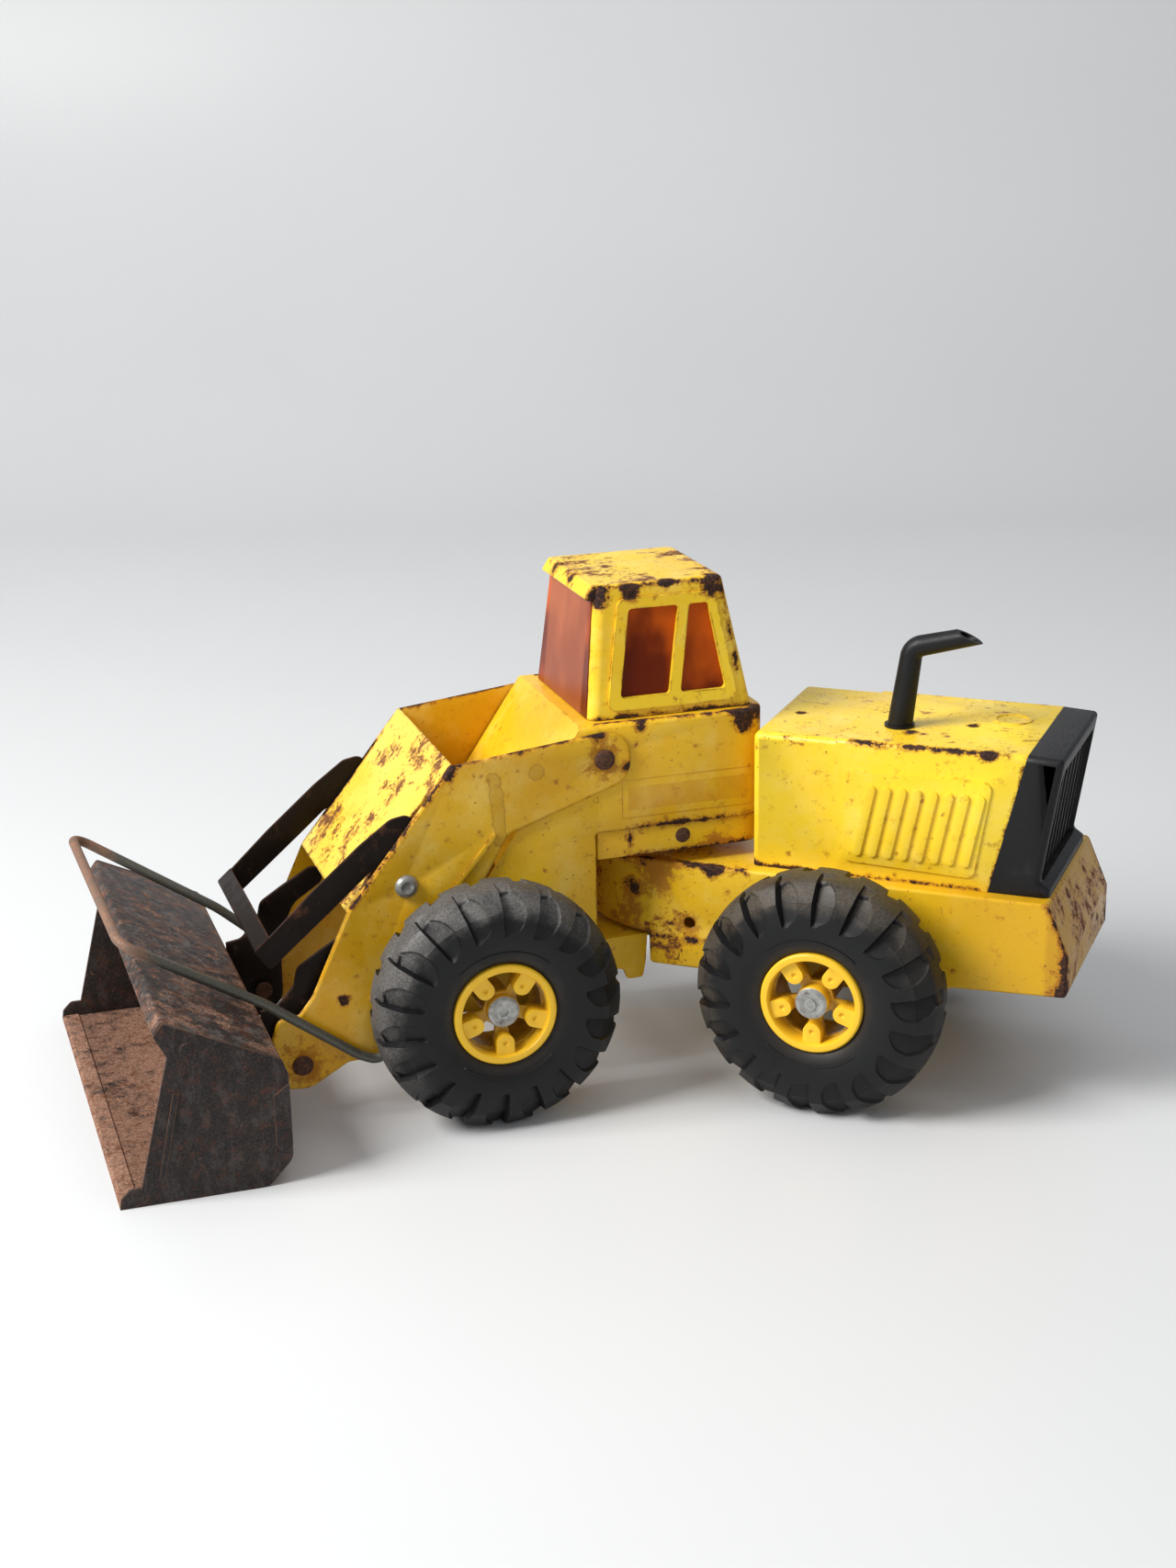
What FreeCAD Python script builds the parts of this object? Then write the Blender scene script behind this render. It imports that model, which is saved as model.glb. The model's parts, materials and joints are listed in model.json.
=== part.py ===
"""Toy front loader, pressed steel, articulated, as a parametric FreeCAD document.

Millimetres, +Z up. The row frame has +X towards the bucket and +Y to the loader's left.
Every piece is drawn in the frame of its own section: X forward from the steering pin, Y left,
Z up from the ground. The front section is in line with the row frame, and the rear section
stands bent about the steering pin, as the loader rests.
"""
import FreeCAD, Part
import math
import os
from FreeCAD import Placement, Rotation, Vector

doc = FreeCAD.newDocument("toy_front_loader")

# ---------------------------------------------------------------- driving dimensions

DIMENSIONS = {
    # place of the steering pin in the row frame, and the bend of the rear section
    "pin_x": -61.475,
    "pin_y": -27.578,
    "rear_bend": 39.44,
    # material
    "steel": 1.2,
    "fit": 0.06,
    # wheels
    "tyre_radius": 60.0,
    "tyre_inner_face": 60.5,
    "tyre_outer_face": 100.0,
    "rim_radius": 25.0,
    "rim_inner_face": 62.0,
    "rim_outer_face": 98.0,
    "hub_radius": 7.5,
    "front_hub_face": 92.6,
    "rear_hub_face": 96.4,
    "boss_circle": 15.3,
    "boss_radius": 4.3,
    "spoke_count": 5,
    "axle_diameter": 5.0,
    "axle_height": 60.0,
    "front_axle_x": 128.3,
    "rear_axle_x": -93.4,
    "axle_cap_diameter": 15.6,
    # front section
    "body_half_width": 51.5,
    "body_top": 181.6,
    "body_rear_x": -22.0,
    "body_shelf": 127.8,
    "body_corner": 14.0,
    "rail_half_width": 50.2,
    "rail_bottom": 113.5,
    "arm_top": 65.2,
    "arm_half_width": 34.2,
    # cab
    "cab_base": 182.0,
    "cab_roof": 246.0,
    "cab_base_half_width": 44.5,
    "cab_roof_half_width": 36.3,
    "cab_base_rear": -16.4,
    "cab_base_front": 67.6,
    "cab_roof_rear": -4.1,
    "cab_roof_front": 61.0,
    # loader arms
    "boom_half_width": 53.6,
    "boom_pivot_x": 63.5,
    "boom_pivot_z": 165.1,
    "boom_pin_diameter": 7.0,
    "rivet_head": 10.0,
    "rod_x": 163.2,
    "rod_z": 113.5,
    "rod_diameter": 5.0,
    "lever_half_width": 51.2,
    "lever_steel": 1.4,
    "bail_x": 172.0,
    "bail_z": 38.0,
    "bail_y": 56.9,
    "bail_wire": 4.8,
    # bucket
    "bucket_pivot_x": 217.4,
    "bucket_pivot_z": 29.4,
    "bucket_pin_diameter": 6.0,
    "bucket_half_width": 114.5,
    "ear_outer_face": 48.0,
    "ear_steel": 2.0,
    # rear section
    "chassis_half_width": 53.3,
    "chassis_top": 106.0,
    "chassis_rear_x": -204.9,
    "cross_hole": 6.1,
    "cross_hole_x": -17.8,
    "cross_hole_z": 75.1,
    "hood_half_width": 45.4,
    "hood_top": 175.0,
    "hood_front_x": -47.5,
    "hood_step": 0.7,
    "stack_foot_diameter": 12.2,
    "stack_tip_diameter": 9.0,
    "stack_y": 15.0,
    "king_pin_diameter": 8.0,
}

sheet = doc.addObject("Spreadsheet::Sheet", "dims")
for row, (alias, value) in enumerate(DIMENSIONS.items(), start=1):
    sheet.set(f"A{row}", alias)
    sheet.set(f"B{row}", str(value))
    sheet.setAlias(f"B{row}", alias)
doc.recompute()


def dim(alias):
    return float(sheet.get(alias))


FRONT = Rotation()
REAR = Rotation(Vector(0, 0, 1), -dim("rear_bend"))
sub_parts = []


# ---------------------------------------------------------------- outlines

def corner_arc(before, corner, after, radius):
    """Tangent points and middle of an arc that rounds one corner, in the plane or in space."""
    back = (before - corner).normalize()
    ahead = (after - corner).normalize()
    half = back.getAngle(ahead) / 2
    reach = radius / math.tan(half)
    middle = (back + ahead).normalize() * (radius / math.sin(half) - radius)
    return corner + back * reach, corner + middle, corner + ahead * reach


def edges_of(points, closed=True):
    """Lines and arcs through points (a, b) or (a, b, corner radius)."""
    spots = [Vector(p[0], p[1], 0) for p in points]
    radii = [p[2] if len(p) > 2 else 0 for p in points]
    return rounded_path(spots, radii, closed)


def rounded_path(spots, radii, closed):
    count = len(spots)
    stops = []
    for i in range(count):
        inner = closed or 0 < i < count - 1
        if radii[i] and inner:
            stops.append(corner_arc(spots[i - 1], spots[i], spots[(i + 1) % count], radii[i]))
        else:
            stops.append((spots[i],))
    pieces = []
    for i, stop in enumerate(stops):
        if len(stop) == 3:
            pieces.append(Part.Arc(*stop))
        following = stops[(i + 1) % count]
        if (closed or i < count - 1) and stop[-1].distanceToPoint(following[0]) > 1e-6:
            pieces.append(Part.LineSegment(stop[-1], following[0]))
    return pieces


def strip(path, thickness):
    """Closed outline of a bent sheet: an open path and its copy moved to the path's left."""
    spots = [Vector(p[0], p[1], 0) for p in path]
    radii = [p[2] if len(p) > 2 else 0 for p in path]
    moved = []
    for i, spot in enumerate(spots):
        ways = []
        if i > 0:
            ways.append((spot - spots[i - 1]).normalize())
        if i < len(spots) - 1:
            ways.append((spots[i + 1] - spot).normalize())
        normals = [Vector(-way.y, way.x, 0) for way in ways]
        middle = sum(normals, Vector()).normalize()
        shift = middle * (thickness / middle.dot(normals[0]))
        turn = 0
        if len(ways) == 2 and radii[i]:
            turn = thickness if ways[0].cross(ways[1]).z < 0 else -thickness
        radius = max(radii[i] + turn, 0.05) if radii[i] else 0
        moved.append((spot.x + shift.x, spot.y + shift.y, radius))
    return list(path) + moved[::-1]


def circle(a, b, diameter):
    return Part.Circle(Vector(a, b, 0), Vector(0, 0, 1), diameter / 2)


# ---------------------------------------------------------------- features

def place(feature, section):
    feature.Placement = Placement(Vector(dim("pin_x"), dim("pin_y"), 0), section)
    feature.setExpression("Placement.Base.x", "dims.pin_x")
    feature.setExpression("Placement.Base.y", "dims.pin_y")
    sub_parts.append(feature)


def new_body(label, section):
    body = doc.addObject("PartDesign::Body", label)
    body.Label = label
    place(body, section)
    return body


def plane_of(body, role):
    for feature in body.Origin.OriginFeatures:
        if feature.Role == role:
            return feature
    raise ValueError(role)


def sketch(body, role, geometry, offset=None):
    """Sketch on an origin plane, moved along the plane's normal by an expression."""
    drawing = body.newObject("Sketcher::SketchObject", f"{body.Name}_sketch")
    drawing.AttachmentSupport = [(plane_of(body, role), "")]
    drawing.MapMode = "FlatFace"
    drawing.addGeometry(geometry, False)
    if offset is not None:
        drawing.setExpression("AttachmentOffset.Base.z", offset)
    drawing.Visibility = False
    return drawing


def extrude(kind, body, drawing, length, symmetric=False, reverse=False):
    feature = body.newObject(f"PartDesign::{kind}", f"{body.Name}_{kind.lower()}")
    feature.Profile = drawing
    feature.setExpression("Length", length)
    if symmetric:
        feature.SideType = "Symmetric"
    feature.Reversed = reverse
    return feature


def pad(body, drawing, length, symmetric=False, reverse=False):
    return extrude("Pad", body, drawing, length, symmetric, reverse)


def pocket(body, drawing, length, symmetric=False, reverse=False):
    """Pocket that must take something away."""
    doc.recompute()
    before = body.Shape.Volume
    feature = extrude("Pocket", body, drawing, length, symmetric, reverse)
    doc.recompute()
    if body.Shape.Volume > before - 1e-3:
        raise ValueError(f"{feature.Name} cuts nothing")
    return feature


def mirror(body, feature):
    doc.recompute()
    copy = body.newObject("PartDesign::Mirrored", f"{body.Name}_mirrored")
    copy.Originals = [feature]
    copy.MirrorPlane = (plane_of(body, "XZ_Plane"), [""])
    body.Tip = copy
    doc.recompute()
    return copy


def fillet(body, radius, wanted):
    """Fillet on every edge of the body that passes the test wanted(edge)."""
    doc.recompute()
    base = body.Tip
    names = [f"Edge{i + 1}" for i, edge in enumerate(base.Shape.Edges) if wanted(edge)]
    if not names:
        raise ValueError(f"{body.Name} has no such edge")
    feature = body.newObject("PartDesign::Fillet", f"{body.Name}_fillet")
    feature.Base = (base, names)
    feature.Radius = radius
    doc.recompute()
    return feature


def side_plate(body, outline, outer, thickness):
    """A pair of upright plates, left and right, from an outline in X and Z."""
    drawing = sketch(body, "XZ_Plane", outline, f"-({outer})")
    plate = pad(body, drawing, thickness)
    return plate


def turned(label, section, profile, spots, axis_z):
    """Identical turned pieces about Y, left and right, from a profile of (y, radius) points."""
    solids = []
    for side in (1, -1):
        outline = [Vector(0, side * y, radius) for y, radius in profile]
        face = Part.Face(Part.makePolygon(outline + outline[:1]))
        for x in spots:
            ring = face.revolve(Vector(), Vector(0, 1, 0), 360)
            ring.translate(Vector(x, 0, axis_z))
            solids.append(ring)
    return made_shape(label, section, Part.makeCompound(solids))


def made_shape(label, section, shape):
    """A sub-part whose shape comes from Part's own functions."""
    feature = doc.addObject("Part::Feature", label)
    feature.Label = label
    feature.Shape = Part.makeCompound([shape])
    place(feature, section)
    return feature


def arc_profile(flat, start, crown, height, steps=5):
    """Domed head: (y, radius) points from the rim at start to the crown on the axis."""
    points = []
    for i in range(steps + 1):
        angle = math.pi / 2 * i / steps
        points.append((start + height * math.sin(angle), crown * math.cos(angle)))
    return [(flat, 0), (flat, crown)] + points[:-1] + [(start + height, 0)]


STEEL = dim("steel")
FIT = dim("fit")


# ---------------------------------------------------------------- front section

def front_body():
    """Tower with side plates down past the axle, a sloping front cover and an open bottom."""
    body = new_body("front_body", FRONT)
    top = dim("body_top")
    rear = dim("body_rear_x")
    shelf = dim("body_shelf")
    outline = [
        (rear, shelf, 2), (rear, top), (74.4, top), (118, 117.7),
        (140, 86, 10), (152, 52, 8), (146, 44, 6), (76, 44, 6), (68, 54, 4), (68, shelf, 2),
    ]
    pad(body, sketch(body, "XZ_Plane", edges_of(outline)), "2 * dims.body_half_width", True)
    round_rear_corners(body, rear, dim("body_half_width"), dim("body_corner"), 60)

    def top_edge(edge):
        box = edge.BoundBox
        return box.ZMin > top - 0.1 and box.XMin < 60

    fillet(body, 2.2, top_edge)
    hollow_rear = rear + STEEL
    corner = dim("body_corner") - STEEL
    wall = dim("body_half_width") - STEEL
    plan = [(hollow_rear, -wall, corner), (73, -wall), (73, wall), (hollow_rear, wall, corner)]
    hollow = sketch(body, "XY_Plane", edges_of(plan), "dims.body_shelf - 20")
    pocket(body, hollow, "dims.body_top - dims.body_shelf + 20 - dims.steel", reverse=True)
    cover = [(60, 30), (60, top - STEEL), (73.8, top - STEEL), (116.9, 117.1), (170, 117.1), (170, 30)]
    pocket(body, sketch(body, "XZ_Plane", edges_of(cover)),
           "2 * (dims.body_half_width - dims.steel)", True)
    holes = [
        circle(dim("front_axle_x"), dim("axle_height"), dim("axle_diameter")),
        circle(dim("boom_pivot_x"), dim("boom_pivot_z"), dim("boom_pin_diameter")),
    ]
    pocket(body, sketch(body, "XZ_Plane", holes), "3 * dims.body_half_width", True)


def round_rear_corners(body, rear, half_width, radius, clear):
    """Cut the two upright rear corners to a radius."""
    for side in (1, -1):
        outer = [
            Vector(rear + radius, side * half_width, 0),
            Vector(rear + radius, side * clear, 0),
            Vector(rear - radius, side * clear, 0),
            Vector(rear - radius, side * (half_width - radius), 0),
            Vector(rear, side * (half_width - radius), 0),
        ]
        lines = [Part.LineSegment(outer[i], outer[i + 1]) for i in range(4)]
        lean = radius * math.sqrt(0.5)
        middle = Vector(rear + radius - lean, side * (half_width - radius + lean), 0)
        drawing = sketch(body, "XY_Plane", lines + [Part.Arc(outer[4], middle, outer[0])])
        pocket(body, drawing, "2 * dims.cab_roof", True)


def front_rail():
    """Pan under the tower that reaches back over the rear chassis and carries the king pin."""
    body = new_body("front_rail", FRONT)
    wide = dim("rail_half_width")
    plan = [(-20.6, -wide, 13), (66.8, -wide, 1), (66.8, wide, 1), (-20.6, wide, 13)]
    pad(body, sketch(body, "XY_Plane", edges_of(plan), "dims.rail_bottom"),
        "dims.body_shelf - dims.rail_bottom - 0.2")
    inner = wide - STEEL
    plan = [(-19.4, -inner, 12), (65.6, -inner, 0.5), (65.6, inner, 0.5), (-19.4, inner, 12)]
    pocket(body, sketch(body, "XY_Plane", edges_of(plan), "dims.rail_bottom + dims.steel"), "20",
           reverse=True)
    pocket(body, sketch(body, "XY_Plane", [circle(0, 0, dim("king_pin_diameter"))]), "400", True)


def front_lower_arm():
    """Lower half of the steering joint, with turned-down side flanges."""
    body = new_body("front_lower_arm", FRONT)
    neck = dim("arm_half_width")
    wide = dim("body_half_width") - STEEL
    plan = [
        (-24, -24, 20), (20, -neck, 8), (70, -neck, 3), (76, -wide), (112, -wide),
        (112, wide), (76, wide), (70, neck, 3), (20, neck, 8), (-24, 24, 20),
    ]
    pad(body, sketch(body, "XY_Plane", edges_of(plan), "dims.arm_top"), "dims.steel", reverse=True)
    flange = [(36, 64.5), (37, 50, 3), (38.6, 42, 2), (47, 42, 2), (49, 48, 3), (60, 48, 3), (64, 64.5)]
    mirror(body, side_plate(body, edges_of(flange), "dims.arm_half_width", "dims.steel"))
    pocket(body, sketch(body, "XY_Plane", [circle(0, 0, dim("king_pin_diameter"))]), "400", True)


def king_pin():
    """Steering pin with two heads, and the spacers that carry the rear chassis."""
    radius = dim("king_pin_diameter") / 2
    low = dim("arm_top") - STEEL
    high = dim("rail_bottom") + STEEL
    shaft = Part.makeCylinder(radius, high - low + 4, Vector(0, 0, low - 2))
    heads = [Part.makeCylinder(8, 2, Vector(0, 0, z)) for z in (low - 2, high)]
    made_shape("king_pin", FRONT, shaft.fuse(heads).removeSplitter())
    gap = 0.3
    top = dim("chassis_top")
    spacers = {
        "lower_spacer": (dim("arm_top"), top - STEEL - gap, 7),
        "upper_spacer": (top + gap, dim("rail_bottom"), 11),
    }
    for label, (start, end, outer) in spacers.items():
        tube = Part.makeCylinder(outer, end - start, Vector(0, 0, start))
        bore = Part.makeCylinder(radius, end - start, Vector(0, 0, start))
        made_shape(label, FRONT, tube.cut(bore))


def cab_block(grow, base=0.0, roof=0.0):
    """Tapered cab block, grown outwards or shrunk by grow, with rounded upright corners."""
    low = dim("cab_base")
    high = dim("cab_roof")

    def level(height):
        """Rear, front and half width of the cab's outside at a height."""
        share = (height - low) / (high - low)
        ends = []
        for name in ("rear", "front", "half_width"):
            start = dim(f"cab_base_{name}")
            ends.append(start + share * (dim(f"cab_roof_{name}") - start))
        return ends

    wires = []
    for height in (low + base, high + roof):
        rear, front, wide = level(height)
        rear -= grow
        front += grow
        wide += grow
        corner = 5 + grow
        plan = edges_of([(rear, -wide, corner), (front, -wide, corner), (front, wide, corner),
                         (rear, wide, corner)])
        wire = Part.Wire([piece.toShape() for piece in plan])
        wire.translate(Vector(0, 0, height))
        wires.append(wire)
    return Part.makeLoft(wires, True, True)


def prism(outline, axis, start, length):
    """Outline in X and Z drawn along Y, or in Y and Z drawn along X."""
    wire = Part.Wire([piece.toShape() for piece in edges_of(outline)])
    if axis == "y":
        wire.rotate(Vector(), Vector(1, 0, 0), 90)
        wire.translate(Vector(0, start, 0))
        return Part.Face(wire).extrude(Vector(0, length, 0))
    wire.rotate(Vector(), Vector(1, 1, 1), 120)
    wire.translate(Vector(start, 0, 0))
    return Part.Face(wire).extrude(Vector(length, 0, 0))


def cab():
    """Pressed cab with raised window surrounds, and the tinted insert inside it."""
    outside = cab_block(0)
    rim = [edge for edge in outside.Edges if edge.BoundBox.ZMin > dim("cab_roof") - 0.1]
    outside = outside.makeFillet(3.2, rim)
    surround = [(58.6, 186, 4), (50.6, 239.4, 5), (1.6, 239.4, 5), (-8.2, 186, 4)]
    panel = prism(surround, "y", -60, 120)
    raised = cab_block(1.4).common(panel)
    front = dim("cab_roof_front")
    roof = dim("cab_roof")
    visor = prism([(front - 8, roof - 0.05), (front + 1.4, roof - 0.3, 2.2), (front + 5.2, roof - 6.4, 0.8),
                   (front + 2.2, roof - 7.4, 0.6), (front - 1.5, roof - 3), (front - 8, roof - 3)], "y",
                  -dim("cab_roof_half_width") + 1.6, 2 * dim("cab_roof_half_width") - 3.2)
    shell = outside.fuse([raised, visor]).cut(cab_block(-STEEL, -1, -STEEL))
    windows = [
        prism([(52.0, 191.8, 2), (45.6, 234.2, 2), (20.0, 234.2, 2), (26.8, 191.8, 2)], "y", -60, 120),
        prism([(21.4, 191.8, 2), (14.6, 234.2, 2), (5.1, 234.2, 2), (-2.3, 191.8, 2)], "y", -60, 120),
        prism([(-39.6, 180), (39.6, 180), (33.0, 238.8, 2), (-33.0, 238.8, 2)], "x", 40, 40),
        prism([(-33, 192, 3), (33, 192, 3), (28, 234, 3), (-28, 234, 3)], "x", -40, 50),
    ]
    shell = shell.cut(windows)
    made_shape("cab_shell", FRONT, shell.removeSplitter())

    liner = STEEL + 0.05
    wall = 1.1
    insert = cab_block(-liner, 0, -liner - 0.5).cut(cab_block(-liner - wall, -1, -liner - wall - 0.5))
    pane = prism([(-39.4, 182.2), (39.4, 182.2), (32.8, 238.6, 1.8), (-32.8, 238.6, 1.8)], "x", 40, 40)
    bulge = cab_block(0.5).common(pane).cut(cab_block(-liner - wall, -1, 0))
    made_shape("cab_glazing", FRONT, insert.fuse(bulge).removeSplitter())


def front_rivets():
    inner = dim("body_half_width")
    outer = dim("boom_half_width")
    pin = dim("boom_pin_diameter") / 2
    head = dim("rivet_head") / 2
    profile = [(inner - STEEL - 2, 0), (inner - STEEL - 2, head - 1), (inner - STEEL, head - 1),
               (inner - STEEL, pin)]
    profile += [(outer + 0.1, pin)] + arc_profile(outer + 0.1, outer + 0.7, head, 1.2)[1:]
    turned("boom_pivot_rivets", FRONT, profile, [dim("boom_pivot_x")], dim("boom_pivot_z"))
    wide = dim("rail_half_width")
    turned("rail_rivets", FRONT, arc_profile(wide, wide + 0.2, 3.8, 0.7), [22.6], 120.9)


# ---------------------------------------------------------------- loader arms and handle

def boom():
    """Two side plates and the slotted front plate between them, one pressing."""
    body = new_body("boom", FRONT)
    pivot_x = dim("boom_pivot_x")
    pivot_z = dim("boom_pivot_z")
    outline = [
        (pivot_x - 14.6, pivot_z + 15.4, 13.2), (139.3, 170.3, 2.5), (192.2, 104.5, 2), (211, 64, 14),
        (218, 55.2, 4), (228, 54.6, 5), (231.6, 45, 4), (231.6, 18, 10), (214, 16.4, 10),
        (194.7, 27.3, 6), (172, 27.5, 10), (158, 52, 12), (112, 132.6, 6), (pivot_x - 13.2, 153.5, 13),
    ]
    pad(body, sketch(body, "XZ_Plane", edges_of(outline)), "2 * dims.boom_half_width", True)

    def plate_bend(edge):
        ends = [vertex.Point for vertex in edge.Vertexes]
        if len(ends) != 2 or abs(ends[0].y - ends[1].y) > 0.1:
            return False
        rise = abs(ends[0].z - ends[1].z)
        run = abs(ends[0].x - ends[1].x)
        on_slope = min(end.x for end in ends) > 135 and max(end.x for end in ends) < 195
        return on_slope and rise > 50 and abs(rise / run - 1.23) < 0.1

    fillet(body, 2.0, plate_bend)
    hollow = [(20, 220), (138.4, 220), (138.4, 168.9), (191.2, 103.8), (260, 103.8), (260, -20), (20, -20)]
    pocket(body, sketch(body, "XZ_Plane", edges_of(hollow)), "2 * (dims.boom_half_width - dims.steel)",
           True)
    slot = [(148.4, 153.7), (154.6, 159.0), (184.2, 121.6), (178.0, 116.4)]
    drawing = sketch(body, "XZ_Plane", edges_of(slot), "-(dims.lever_half_width + 0.9)")
    mirror(body, pocket(body, drawing, "3.2", reverse=True))
    holes = [
        circle(pivot_x, pivot_z, dim("boom_pin_diameter") + 2 * FIT),
        circle(dim("rod_x"), dim("rod_z"), dim("rod_diameter")),
        circle(dim("bucket_pivot_x"), dim("bucket_pivot_z"), dim("bucket_pin_diameter")),
        circle(dim("bail_x"), dim("bail_z"), dim("bail_wire") + 2 * FIT),
    ]
    pocket(body, sketch(body, "XZ_Plane", holes), "3 * dims.boom_half_width", True)
    rib = strip([(184, 58.4), (119.4, 135.2)], 2.4)
    mirror(body, side_plate(body, edges_of(rib), "dims.boom_half_width + 0.9", "0.9"))


def lever_rod():
    """Cross rod with pushed-on caps that the tilt lever turns on."""
    outer = dim("boom_half_width")
    radius = dim("rod_diameter") / 2
    rod = Part.makeCylinder(radius, 2 * (outer + 1.2), Vector(dim("rod_x"), -outer - 1.2, dim("rod_z")),
                            Vector(0, 1, 0))
    made_shape("lever_rod", FRONT, rod)
    profile = [(outer + 0.05, radius), (outer + 0.05, 5.6), (outer + 0.9, 5.6), (outer + 2.1, 4.4),
               (outer + 2.4, 3.2), (outer + 1.8, 1.2), (outer + 1.75, 0), (outer + 1.2, 0),
               (outer + 1.2, radius)]
    turned("lever_rod_caps", FRONT, profile, [dim("rod_x")], dim("rod_z"))


def bucket_pivot_rivets():
    outer = dim("boom_half_width")
    ear = dim("ear_outer_face")
    pin = dim("bucket_pin_diameter") / 2
    head = dim("rivet_head") / 2
    back = ear - dim("ear_steel") - 0.4
    profile = [(back - 1.6, 0), (back - 1.6, head - 0.6), (back, head - 0.6), (back, pin),
               (ear + 0.4, pin), (ear + 0.4, head - 1), (outer - STEEL, head - 1), (outer - STEEL, pin),
               (outer, pin)]
    profile += arc_profile(outer, outer + 0.5, head, 1.1)[1:]
    turned("bucket_pivot_rivets", FRONT, profile, [dim("bucket_pivot_x")], dim("bucket_pivot_z"))


def tilt_lever():
    """Strip lever: two cranked legs on the rod, joined in front by a folded cross bar."""
    body = new_body("tilt_lever", FRONT)
    leg = [
        (156.2, 106.5, 6.5), (157.6, 148.6, 5), (169, 146.6, 8), (184.5, 135.4, 40), (210, 113.6),
        (236.4, 88.9, 1), (229.6, 79.4, 2), (193, 110.4, 40), (180.6, 121.2, 6), (170.2, 127, 5),
        (170.2, 106.5, 6.5),
    ]
    mirror(body, side_plate(body, edges_of(leg), "dims.lever_half_width", "dims.lever_steel"))
    bar = strip([(229.4, 80.0), (237.0, 89.4, 1.6), (229.6, 95.8)], 1.4)
    pad(body, sketch(body, "XZ_Plane", edges_of(bar)), "2 * dims.lever_half_width", True)
    bore = circle(dim("rod_x"), dim("rod_z"), dim("rod_diameter") + 2 * FIT)
    pocket(body, sketch(body, "XZ_Plane", [bore]), "3 * dims.lever_half_width", True)


def wire_bail():
    """Round-wire handle: ends hooked through the boom, legs beside it, a cross bar in front."""
    x = dim("bail_x")
    z = dim("bail_z")
    y = dim("bail_y")
    left = [
        (Vector(x, dim("boom_half_width") - 3.6, z), 0),
        (Vector(x, y, z), 2.6),
        (Vector(180.5, y, 27.6), 7),
        (Vector(191, y, 32.6), 14),
        (Vector(235, y + 3.2, 66.4), 60),
        (Vector(300.6, 69, 108.4), 9),
    ]
    right = [(Vector(spot.x, -spot.y, spot.z), radius) for spot, radius in reversed(left[:4])]
    right = [(Vector(305.4, -75, 115), 9), (Vector(236, -63, 71), 60)] + right
    spots = [spot for spot, radius in left + right]
    radii = [radius for spot, radius in left + right]
    path = Part.Wire([piece.toShape() for piece in rounded_path(spots, radii, False)])
    ring = Part.Wire(Part.makeCircle(dim("bail_wire") / 2, spots[0], Vector(0, 1, 0)))
    wire = path.makePipeShell([ring], True, True)
    made_shape("wire_bail", FRONT, wire)


# ---------------------------------------------------------------- bucket

BUCKET_REAR = 235.1


def bucket():
    """Floor, back and top in one bent sheet, two side plates and two hinge ears."""
    shell = new_body("bucket_shell", FRONT)
    path = [
        (294.4, 81.6), (290.2, 86.9, 1.6), (238.2, 61.6, 3), (BUCKET_REAR, 54, 5),
        (BUCKET_REAR, 12.5, 8), (247, 0, 7), (314.4, 0),
    ]
    bent = strip(path, STEEL)
    hem = [(314.4, 0.8), (312.8, 2.0, 0.4), (306.0, 2.0, 0.4), (305.4, STEEL)]
    bent[len(path):len(path) + 1] = hem
    width = "2 * (dims.bucket_half_width - dims.steel)"
    pad(shell, sketch(shell, "XZ_Plane", edges_of(bent)), width, True)

    side_outline = [
        (314.4, 0.0), (313.8, 4.8, 3), (309.4, 9.2, 3), (304.2, 9.2), (288.9, 70.3), (294.2, 81.0, 1), (289.8, 86.9, 1.5),
        (237.9, 61.8, 3), (BUCKET_REAR, 54, 5), (BUCKET_REAR, 12.5, 8), (247, 0, 7),
    ]
    ridge = strip([(296.2, 12), (287.4, 53)], 2.6)
    tab = [(BUCKET_REAR, 14.0, 3), (BUCKET_REAR, 50), (242.6, 44.6, 2), (242.6, 19.6, 2)]
    for label, turn in (("bucket_side_left", 0), ("bucket_side_right", 1)):
        plate = new_body(label, FRONT)
        face = "dims.bucket_half_width"
        reach = f"-({face})" if turn == 0 else face
        pad(plate, sketch(plate, "XZ_Plane", edges_of(side_outline), reach), "dims.steel",
            reverse=bool(turn))
        for raised, height in ((ridge, "0.7"), (tab, "0.7")):
            pad(plate, sketch(plate, "XZ_Plane", edges_of(raised), reach), height,
                reverse=not turn)

    ear_outline = [
        (BUCKET_REAR, 57.4), (227.4, 58.6, 5), (218.6, 68, 6), (216.6, 77, 6), (205, 84.4, 10),
        (187.6, 94.4, 5), (181.6, 86.2, 5), (199, 75, 12), (207, 60, 12), (207.6, 24, 9), (216, 15.4, 8),
        (BUCKET_REAR, 16.4),
    ]
    bore = circle(dim("bucket_pivot_x"), dim("bucket_pivot_z"), dim("bucket_pin_diameter") + 2 * FIT)
    for label, reach in (
        ("bucket_ear_left", "-dims.ear_outer_face"),
        ("bucket_ear_right", "dims.ear_outer_face - dims.ear_steel"),
    ):
        ear = new_body(label, FRONT)
        pad(ear, sketch(ear, "XZ_Plane", edges_of(ear_outline), reach), "dims.ear_steel")
        pocket(ear, sketch(ear, "XZ_Plane", [bore]), "3 * dims.boom_half_width", True)

    wide = dim("bucket_half_width")
    turned("bucket_rivets", FRONT, arc_profile(wide, wide + 0.3, 3.4, 1.1), [280], 72.9)


# ---------------------------------------------------------------- rear section

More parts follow.
